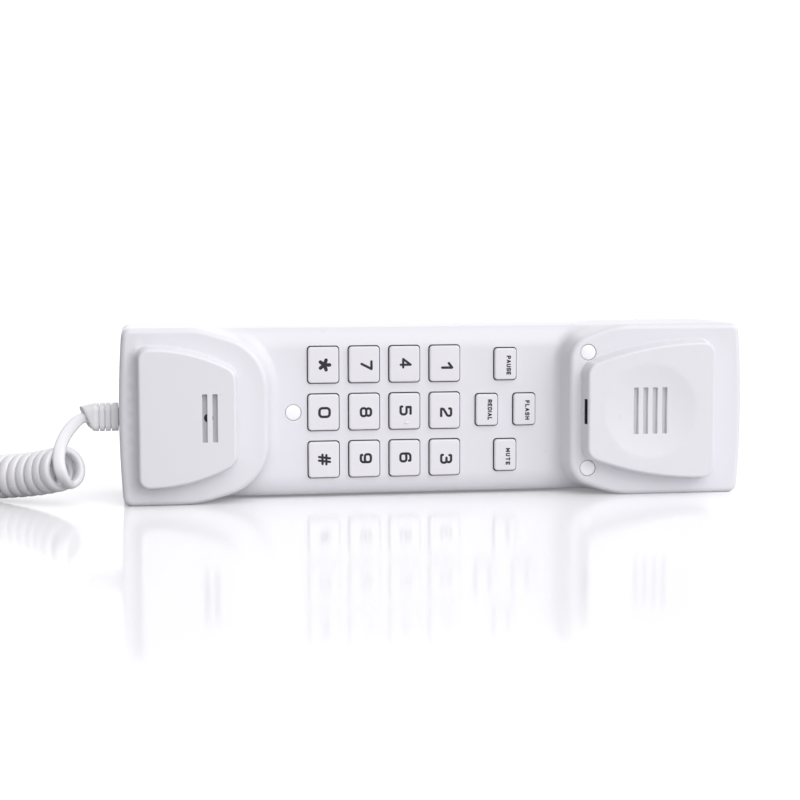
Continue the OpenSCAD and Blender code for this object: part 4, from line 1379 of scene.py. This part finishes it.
# =====================================================================================================================
# Strain relief
# =====================================================================================================================
RELIEF = (-105.0, -2.0, 28.0)


def build_relief():
    B = Builder()

    def ring(u, a, b, r, sy=0.0, sz=0.0):
        """u mm out of the wall; a half the height, b half the depth. sy and sz lean the ring, so that the tip is cut
        obliquely and its mouth opens towards the front and down. The ring turns counter-clockwise seen from the tip."""
        p, _ = rr_ring((0, 0), b, a, min(r, a - 0.05, b - 0.05), 8, 3)
        return B.add([(RELIEF[0] - u - sy * q[0] / 3.4 - sz * q[1] / 3.6, RELIEF[1] + q[0], RELIEF[2] + q[1]) for q in p][::-1])

    prof = [(0.32, 3.9, 3.8, 1.8, 0), (0.32, 4.3, 4.2, 2.0, 0), (0.45, 4.5, 4.4, 2.05, 1)]
    for g in (2.75, 4.7, 6.6):
        prof += [(g - 0.30, 4.55, 4.45, 2.1, 1), (g - 0.19, 4.46, 4.36, 2.0, 2), (g - 0.17, 3.7, 3.6, 1.5, 3), (g + 0.17, 3.7, 3.6, 1.5, 4), (g + 0.19, 4.46, 4.36, 2.0, 5), (g + 0.30, 4.55, 4.45, 2.1, 6)]
    prof += [(8.2, 4.52, 4.42, 2.1, 6), (8.5, 4.42, 4.3, 2.1, 7), (10.4, 3.85, 3.7, 1.9, 7, 0.55, 0.9), (10.7, 3.68, 3.52, 1.85, 8, 0.7, 1.2)]
    prof += [(11.1, 3.5, 3.3, 1.8, 8, 0.9, 1.45), (11.25, 3.25, 3.05, 1.7, 9, 0.9, 1.5), (11.25, 2.95, 2.7, 1.5, 9, 0.9, 1.5)]
    prof += [(11.05, 2.65, 2.4, 1.3, 10, 0.85, 1.4), (10.5, 2.45, 2.2, 1.2, 11, 0.75, 1.2), (9.2, 2.2, 1.7, 1.0, 11)]
    last = None
    for i, row in enumerate(prof):
        ids = ring(*row[:4], *row[5:])
        g = row[4]
        if last is not None:
            B.strip(ids, last, g)
        else:
            B.face(tuple(reversed(ids)), 20)
        last = ids
    B.face(tuple(last), 21)
    # neck through the wall and flange inside it
    for u0, u1, rad in ((-2.6, 0.4, 3.1), (-3.9, -2.5, 4.2)):
        n = 40
        a = B.add([(RELIEF[0] - u0, RELIEF[1] + rad * math.cos(2 * PI * i / n), RELIEF[2] + rad * math.sin(2 * PI * i / n)) for i in range(n)][::-1])
        b = B.add([(RELIEF[0] - u1, RELIEF[1] + rad * math.cos(2 * PI * i / n), RELIEF[2] + rad * math.sin(2 * PI * i / n)) for i in range(n)][::-1])
        B.strip(b, a, 30)
        B.face(tuple(b), 31)
        B.face(tuple(reversed(a)), 32)
    ob = B.build("relief_sleeve", [MAT["relief"]])
    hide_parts("strain_relief")
    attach(ob, "handset")
    return ob


relief = build_relief()


# =====================================================================================================================
# Cord
# =====================================================================================================================
CORD_W, CORD_T = 3.4, 2.4
COIL_ROUTE = [
    (-118.7, -19.8, 13.4), (-122.2, -15, 12.8), (-125.6, -11.2, 11.8), (-129.2, -8, 10.7), (-136, -3, 9.3), (-142, 1, 8.5),
    (-147, 4.7, 7.9), (-155, 9.6, 7.5), (-163, 14.5, 7.5), (-170, 18.8, 7.5), (-177, 23.1, 7.5), (-184, 27.3, 7.5),
    (-191.6, 29.7, 7.5), (-199.4, 28.1, 7.5), (-205.4, 22.7, 7.5), (-207.9, 15.1, 7.5), (-206.2, 7.2, 7.5), (-200.8, 1.2, 7.5),
    (-190.7, -5.3, 7.5), (-180.6, -11.8, 7.5), (-172.2, -17.2, 7.5),
]  # fmt: skip
TAIL_A = [
    (-113.6, -2, 28), (-115.8, -2.4, 28), (-118, -3.8, 27.4), (-120.9, -7, 24.9), (-123.2, -11.8, 21.5), (-124.2, -16.2, 18.3),
    (-124.3, -19, 15.1), (-123.6, -19.9, 11.9), (-122.4, -18.6, 9.1),
]  # fmt: skip
JOIN = 20  # the tail runs into the coil at this point of the helix
TAIL_B = [(-166.5, -7.7, 1.5), (-165.5, -5.2, 1.3), (-165.6, -2.6, 1.3), (-166.6, 0, 1.5), (-168.5, 1.8, 2), (-171.9, 4, 2.9), (-174.4, 5.6, 3.2)]
HELIX_R = 6.2


def catmull(points, per=24):
    """A smooth line through points (centripetal)."""
    P = [np.array(p, float) for p in points]
    P = [2 * P[0] - P[1]] + P + [2 * P[-1] - P[-2]]
    out = []
    for i in range(1, len(P) - 2):
        p0, p1, p2, p3 = P[i - 1], P[i], P[i + 1], P[i + 2]
        t = [0.0]
        for a, b in ((p0, p1), (p1, p2), (p2, p3)):
            t.append(t[-1] + max(1e-6, np.linalg.norm(b - a)) ** 0.5)
        for k in range(per):
            s = t[1] + (t[2] - t[1]) * k / per
            a1 = (t[1] - s) / (t[1] - t[0]) * p0 + (s - t[0]) / (t[1] - t[0]) * p1
            a2 = (t[2] - s) / (t[2] - t[1]) * p1 + (s - t[1]) / (t[2] - t[1]) * p2
            a3 = (t[3] - s) / (t[3] - t[2]) * p2 + (s - t[2]) / (t[3] - t[2]) * p3
            b1 = (t[2] - s) / (t[2] - t[0]) * a1 + (s - t[0]) / (t[2] - t[0]) * a2
            b2 = (t[3] - s) / (t[3] - t[1]) * a2 + (s - t[1]) / (t[3] - t[1]) * a3
            out.append((t[2] - s) / (t[2] - t[1]) * b1 + (s - t[1]) / (t[2] - t[1]) * b2)
    out.append(P[-2])
    return np.array(out)


def even(P, step):
    d = np.r_[0, np.cumsum(np.linalg.norm(np.diff(P, axis=0), axis=1))]
    n = max(2, int(round(d[-1] / step)))
    s = np.linspace(0, d[-1], n + 1)
    return np.c_[[np.interp(s, d, P[:, k]) for k in range(3)]].T, d[-1]


def unit(v):
    return v / np.linalg.norm(v)


def helix_path():
    axis, total = even(catmull(COIL_ROUTE), 0.25)
    d = total / (len(axis) - 1)
    tan = np.gradient(axis, axis=0)
    tan /= np.linalg.norm(tan, axis=1)[:, None]
    curv = np.linalg.norm(np.gradient(tan, axis=0), axis=1) / d
    curv = np.convolve(np.pad(curv, 20, mode="edge"), np.ones(41) / 41, "valid")
    e1 = unit(np.array((-0.8, -0.6, 0.0)) - tan[0] * (np.array((-0.8, -0.6, 0.0)) @ tan[0]))
    phi = math.radians(START_PHI)
    pts, wid, ax = [], [], []
    s = START_S
    i = int(s / d)
    fr = [e1]
    for k in range(1, len(axis)):
        e = fr[-1] - tan[k] * (fr[-1] @ tan[k])
        fr.append(unit(e))
    s_end = total - 1.0
    ds_sub = 0.11
    while s < s_end:
        f = s / d
        i = min(int(f), len(axis) - 2)
        u = f - i
        c = axis[i] * (1 - u) + axis[i + 1] * u
        t = unit(tan[i] * (1 - u) + tan[i + 1] * u)
        a = unit(fr[i] * (1 - u) + fr[i + 1] * u)
        b = np.cross(t, a)
        if b[2] < 0:
            b = -b
        rad = HELIX_R - 0.55 * (1 - smooth01((s - START_S) / 5.0))
        q = c + rad * (math.cos(phi) * a + math.sin(phi) * b)
        pts.append(q)
        wid.append(t)
        pitch = 3.44 / max(0.35, 1 - curv[i] * 7.2)
        s0 = s - START_S
        for lim, extra in OPENED:
            if s0 < lim:
                pitch = 3.44 + extra
                break
        s += ds_sub
        phi -= 2 * PI * ds_sub / pitch
        ax.append(phi)
    # it leaves the coil where it comes down on the side of the plug
    last = max(k for k in range(1, len(ax)) if (ax[k] - LEAVE) // (2 * PI) != (ax[k - 1] - LEAVE) // (2 * PI))
    return np.array(pts[:last]), np.array(wid[:last]), phi, tan, fr


START_PHI = 47.0
START_S = 3.4
LEAVE = math.radians(32)
OPENED = ((5.3, 2.1), (9.5, 1.0), (17.0, 0.45))


def bezier(p0, p1, p2, p3, n):
    t = np.linspace(0, 1, n)[:, None]
    return (1 - t) ** 3 * p0 + 3 * (1 - t) ** 2 * t * p1 + 3 * (1 - t) * t * t * p2 + t**3 * p3


def build_cord():
    H, HW, phi_end, tan, fr = helix_path()
    # start: straight in the relief's mouth, then over to the front and down into the first turn
    H, HW = H[JOIN:], HW[JOIN:]
    tail = catmull(TAIL_A + [H[0], H[4]], 12)[:-12]
    straight = tail[:12]
    tail = tail[12:]
    # end: off the last turn onto the floor and along to the plug
    t_e = unit(H[-1] - H[-4])
    q0 = H[-1]
    tb = catmull(TAIL_B, 10)
    t_f = unit(tb[1] - tb[0])
    lead = bezier(q0, q0 + t_e * 5.0, tb[0] - t_f * 4.0, tb[0], 26)
    path = np.vstack([straight, tail[:-1], H[:-1], lead[:-1], tb])
    up = np.array((0, 0, 1.0))
    w0 = np.array((0.0, 0.0, 1.0))
    wid = [w0] * len(straight)
    low = 60  # down to here its flat side faces the front
    for k in range(len(tail) - 1):
        t = unit(tail[k + 1] - tail[max(0, k - 1)])
        if k <= low:
            face = unit(np.array((t[2], 0.12, -t[0])))
            f = smooth01(k / 14)
            wid.append(unit(w0 * (1 - f) + face * f))
        else:
            f = smooth01((k - low) / (len(tail) - 1 - low))
            wid.append(unit(face * (1 - f) + HW[0] * f))
    wid += list(HW[:-1])
    side_end = unit(np.cross(t_f, up))
    if side_end @ HW[-1] < 0:
        side_end = -side_end
    for k in range(len(lead) - 1):
        f = smooth01(k / (len(lead) - 1))
        wid.append(unit(HW[-1] * (1 - f) + side_end * f))
    for k in range(len(tb)):
        t = unit(tb[min(k + 1, len(tb) - 1)] - tb[max(k - 1, 0)])
        s_ = np.cross(t, up)
        if s_ @ wid[-1] < 0:
            s_ = -s_
        wid.append(unit(s_))
    path = np.array(path)
    wid = np.array(wid)
    # even spacing along the line
    dd = np.r_[0, np.cumsum(np.linalg.norm(np.diff(path, axis=0), axis=1))]
    total = dd[-1]
    n = int(total / 1.05)
    s = np.linspace(0, total, n + 1)
    C = np.array([np.interp(s, dd, path[:, k]) for k in range(3)]).T
    Wv = np.array([np.interp(s, dd, wid[:, k]) for k in range(3)]).T
    T = np.gradient(C, axis=0)
    T /= np.linalg.norm(T, axis=1)[:, None]
    Wv -= T * np.sum(Wv * T, axis=1)[:, None]
    Wv /= np.linalg.norm(Wv, axis=1)[:, None]
    N = np.cross(T, Wv)
    # section: two flat sides and round edges
    sec = []
    a, b = CORD_W / 2, CORD_T / 2
    m = 14
    for k in range(m):
        t = 2 * PI * (k + 0.5) / m
        e = 2.0 / 3.0
        ct, st = math.cos(t), math.sin(t)
        sec.append((a * math.copysign(abs(ct) ** e, ct), b * math.copysign(abs(st) ** e, st)))
    B = Builder()
    prev = None
    for k in range(len(C)):
        wide = 1 + 0.18 * smooth01((s[k] - 2.5) / 6) * (1 - smooth01((s[k] - 70) / 30))  # flatter before the first curl
        ids = B.add([C[k] + Wv[k] * p * wide + N[k] * q for p, q in sec])
        if prev is not None:
            B.strip(ids, prev, 0)
        else:
            B.face(tuple(reversed(ids)), 1)
        prev = ids
    B.face(tuple(prev), 2)
    # the face winding is set by the section's own sense
    ob = B.build("coiled_cord", [MAT["cord"]])
    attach(ob, "handset")
    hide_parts("cord_tail", "cord_coil", "cord_end")
    return ob


cord = build_cord()


# =====================================================================================================================
# CAD nodes that show as they are: materials, and edges eased where they are moulded or pressed
# =====================================================================================================================
def cad(name, mat, bevel=0.0, seg=2):
    if name not in nodes:
        return
    ob = nodes[name]
    assign(ob, mat)
    if bevel:
        m = ob.modifiers.new("eased_edges", "BEVEL")
        m.width = bevel * MM
        m.segments = seg
        m.limit_method = "ANGLE"
        m.angle_limit = math.radians(40)
        m.harden_normals = True


for nm, mt, bv in (
    ("keypad_mat", "silicone", 0.0), ("main_board", "board", 0.0), ("dialer_chip", "chip", 0.12), ("capacitor_a", "sleeve", 0.3),
    ("capacitor_b", "sleeve", 0.3), ("ringer_bridge", "chip", 0.15), ("board_screw_a", "steel", 0.1), ("board_screw_b", "steel", 0.1),
    ("board_screw_c", "steel", 0.1), ("board_screw_d", "steel", 0.1), ("receiver_gasket", "foam", 0.2),
    ("receiver_capsule", "dark_plastic", 0.3), ("microphone_boot", "dark_rubber", 0.2), ("microphone_capsule", "foam", 0.15),
    ("receiver_lead", "lead_red", 0.0), ("microphone_lead", "lead_dark", 0.0), ("line_lead", "lead_pale", 0.0),
    ("case_screw_a", "steel", 0.1), ("case_screw_b", "steel", 0.1), ("case_screw_c", "steel", 0.1),
    ("modular_plug", "clear", 0.15), ("plug_contact_a", "gold", 0.05), ("plug_contact_b", "gold", 0.05),
    ("plug_contact_c", "gold", 0.05), ("plug_contact_d", "gold", 0.05),
):  # fmt: skip
    cad(nm, MAT[mt], bv)


# =====================================================================================================================
# Floor, light and view
# =====================================================================================================================
def build_floor():
    """A glossy white sweep. The camera sees it brighter than it lights the handset, as the sweep behind and in front of
    the handset isn't lit where the handset stands close to it."""
    me = bpy.data.meshes.new("floor")
    me.from_pydata([(-3, -2, 0), (3, -2, 0), (3, 4, 0), (-3, 4, 0)], [], [(0, 1, 2, 3)])
    ob = bpy.data.objects.new("floor", me)
    bpy.context.scene.collection.objects.link(ob)
    m = bpy.data.materials.new("white_sweep")
    m.use_nodes = True
    nt = m.node_tree
    bsdf = nt.nodes["Principled BSDF"]
    out = nt.nodes["Material Output"]
    set_in(bsdf, Roughness=0.9, Specular_IOR_Level=0.0)
    bsdf.inputs["Base Color"].default_value = (*FLOOR_SEEN, 1)
    gl = nt.nodes.new("ShaderNodeBsdfGlossy")
    gl.inputs["Color"].default_value = (1, 1, 1, 1)
    # the sweep is lit from behind as well, which lifts it close to white
    glow = nt.nodes.new("ShaderNodeEmission")
    glow.inputs["Color"].default_value = (1, 1, 1, 1)
    glow.inputs["Strength"].default_value = FLOOR_GLOW
    lit = nt.nodes.new("ShaderNodeAddShader")
    nt.links.new(bsdf.outputs[0], lit.inputs[0])
    nt.links.new(glow.outputs[0], lit.inputs[1])
    mix = nt.nodes.new("ShaderNodeMixShader")
    mix.inputs[0].default_value = FLOOR_GLOSS
    nt.links.new(lit.outputs[0], mix.inputs[1])
    nt.links.new(gl.outputs[0], mix.inputs[2])
    dim = nt.nodes.new("ShaderNodeBsdfDiffuse")
    dim.inputs["Color"].default_value = (*FLOOR_LIT, 1)
    shine = nt.nodes.new("ShaderNodeEmission")
    shine.name = "bounce"
    shine.inputs["Color"].default_value = (1, 1, 1, 1)
    shine.inputs["Strength"].default_value = FLOOR_BOUNCE
    dim2 = nt.nodes.new("ShaderNodeAddShader")
    nt.links.new(dim.outputs[0], dim2.inputs[0])
    nt.links.new(shine.outputs[0], dim2.inputs[1])
    # a black cloth lies on the sweep's left part, out of view, so that it throws less light back there
    flag = nt.nodes.new("ShaderNodeBsdfDiffuse")
    flag.inputs["Color"].default_value = (*FLOOR_FLAG, 1)
    split = nt.nodes.new("ShaderNodeSeparateXYZ")
    nt.links.new(object_coords(nt, 1.0), split.inputs[0])
    edge = to_range(nt, split.outputs[0], 0.0, 1.0, *FLAG_X)
    flagged = nt.nodes.new("ShaderNodeMixShader")
    nt.links.new(edge, flagged.inputs[0])
    nt.links.new(flag.outputs[0], flagged.inputs[1])
    nt.links.new(dim2.outputs[0], flagged.inputs[2])
    dim2 = flagged
    lp = nt.nodes.new("ShaderNodeLightPath")
    pick = nt.nodes.new("ShaderNodeMixShader")
    nt.links.new(lp.outputs["Is Camera Ray"], pick.inputs[0])
    nt.links.new(dim2.outputs[0], pick.inputs[1])
    nt.links.new(mix.outputs[0], pick.inputs[2])
    nt.links.new(pick.outputs[0], out.inputs[0])
    # a faint unevenness in the sweep's sheen
    vec = object_coords(nt, 1.0)
    nt.links.new(to_range(nt, noise(nt, vec, 6.0, 2.0), 0.09, 0.13), gl.inputs["Roughness"])
    assign(ob, m)


FLOOR_SEEN = (0.88, 0.88, 0.9)
FLOOR_LIT = (0.6, 0.6, 0.61)
FLOOR_GLOW = 0.205
FLOOR_BOUNCE = 0.085
FLOOR_FLAG = (0.38, 0.38, 0.38)
FLAG_X = (-0.14, -0.05)
FLOOR_GLOSS = 0.34
build_floor()

# The light around the handset, as soft lobes in these directions: (direction, strength, how narrow)
LOBES = [
    ((1, 0, 0.12), 0.6), ((0.71, -0.71, 0.12), 0.75), ((0, -1, 0.12), 1.1), ((-0.71, -0.71, 0.12), 0.1), ((0.71, 0.71, 0.12), 0.45),
    ((0, 1, 0.12), 1.08), ((-0.71, 0.71, 0.12), 0.12), ((0.71, 0, 0.71), 0.6), ((0.5, -0.5, 0.71), 1.13), ((0, -0.71, 0.71), 0.84),
    ((-0.5, -0.5, 0.71), 0.12), ((0, 0.71, 0.71), 0.75), ((0, 0, 1), 0.58),
    ((0.45, -0.75, 0.45), 2.3, 40.0),
]  # fmt: skip


def build_world():
    w = bpy.data.worlds.new("studio")
    bpy.context.scene.world = w
    w.use_nodes = True
    nt = w.node_tree
    bg = nt.nodes["Background"]
    out = nt.nodes["World Output"]
    tc = nt.nodes.new("ShaderNodeTexCoord")

    def math_node(op, a, b):
        n = nt.nodes.new("ShaderNodeMath")
        n.operation = op
        for i, v in enumerate((a, b)):
            if isinstance(v, (int, float)):
                n.inputs[i].default_value = v
            else:
                nt.links.new(v, n.inputs[i])
        return n.outputs[0]

    total = None
    for d, strength, *power in LOBES:
        dot = nt.nodes.new("ShaderNodeVectorMath")
        dot.operation = "DOT_PRODUCT"
        dot.inputs[1].default_value = tuple(Vector(d).normalized())
        nt.links.new(tc.outputs["Generated"], dot.inputs[0])
        lobe = math_node("MULTIPLY", math_node("POWER", math_node("MAXIMUM", dot.outputs["Value"], 0.0), power[0] if power else 6.0), strength)
        total = lobe if total is None else math_node("ADD", total, lobe)
    nt.links.new(total, bg.inputs["Strength"])
    bg.inputs["Color"].default_value = (0.99, 0.985, 1.0, 1)
    bg2 = nt.nodes.new("ShaderNodeBackground")
    bg2.inputs["Color"].default_value = (1, 1, 1, 1)
    bg2.inputs["Strength"].default_value = 1.05
    lp = nt.nodes.new("ShaderNodeLightPath")
    mix = nt.nodes.new("ShaderNodeMixShader")
    nt.links.new(lp.outputs["Is Camera Ray"], mix.inputs[0])
    nt.links.new(bg.outputs[0], mix.inputs[1])
    nt.links.new(bg2.outputs[0], mix.inputs[2])
    nt.links.new(mix.outputs[0], out.inputs[0])


build_world()


sc = bpy.context.scene
sc.view_settings.view_transform = "Standard"
sc.view_settings.look = "None"
sc.view_settings.exposure = 0.0
sc.view_settings.gamma = 1.0
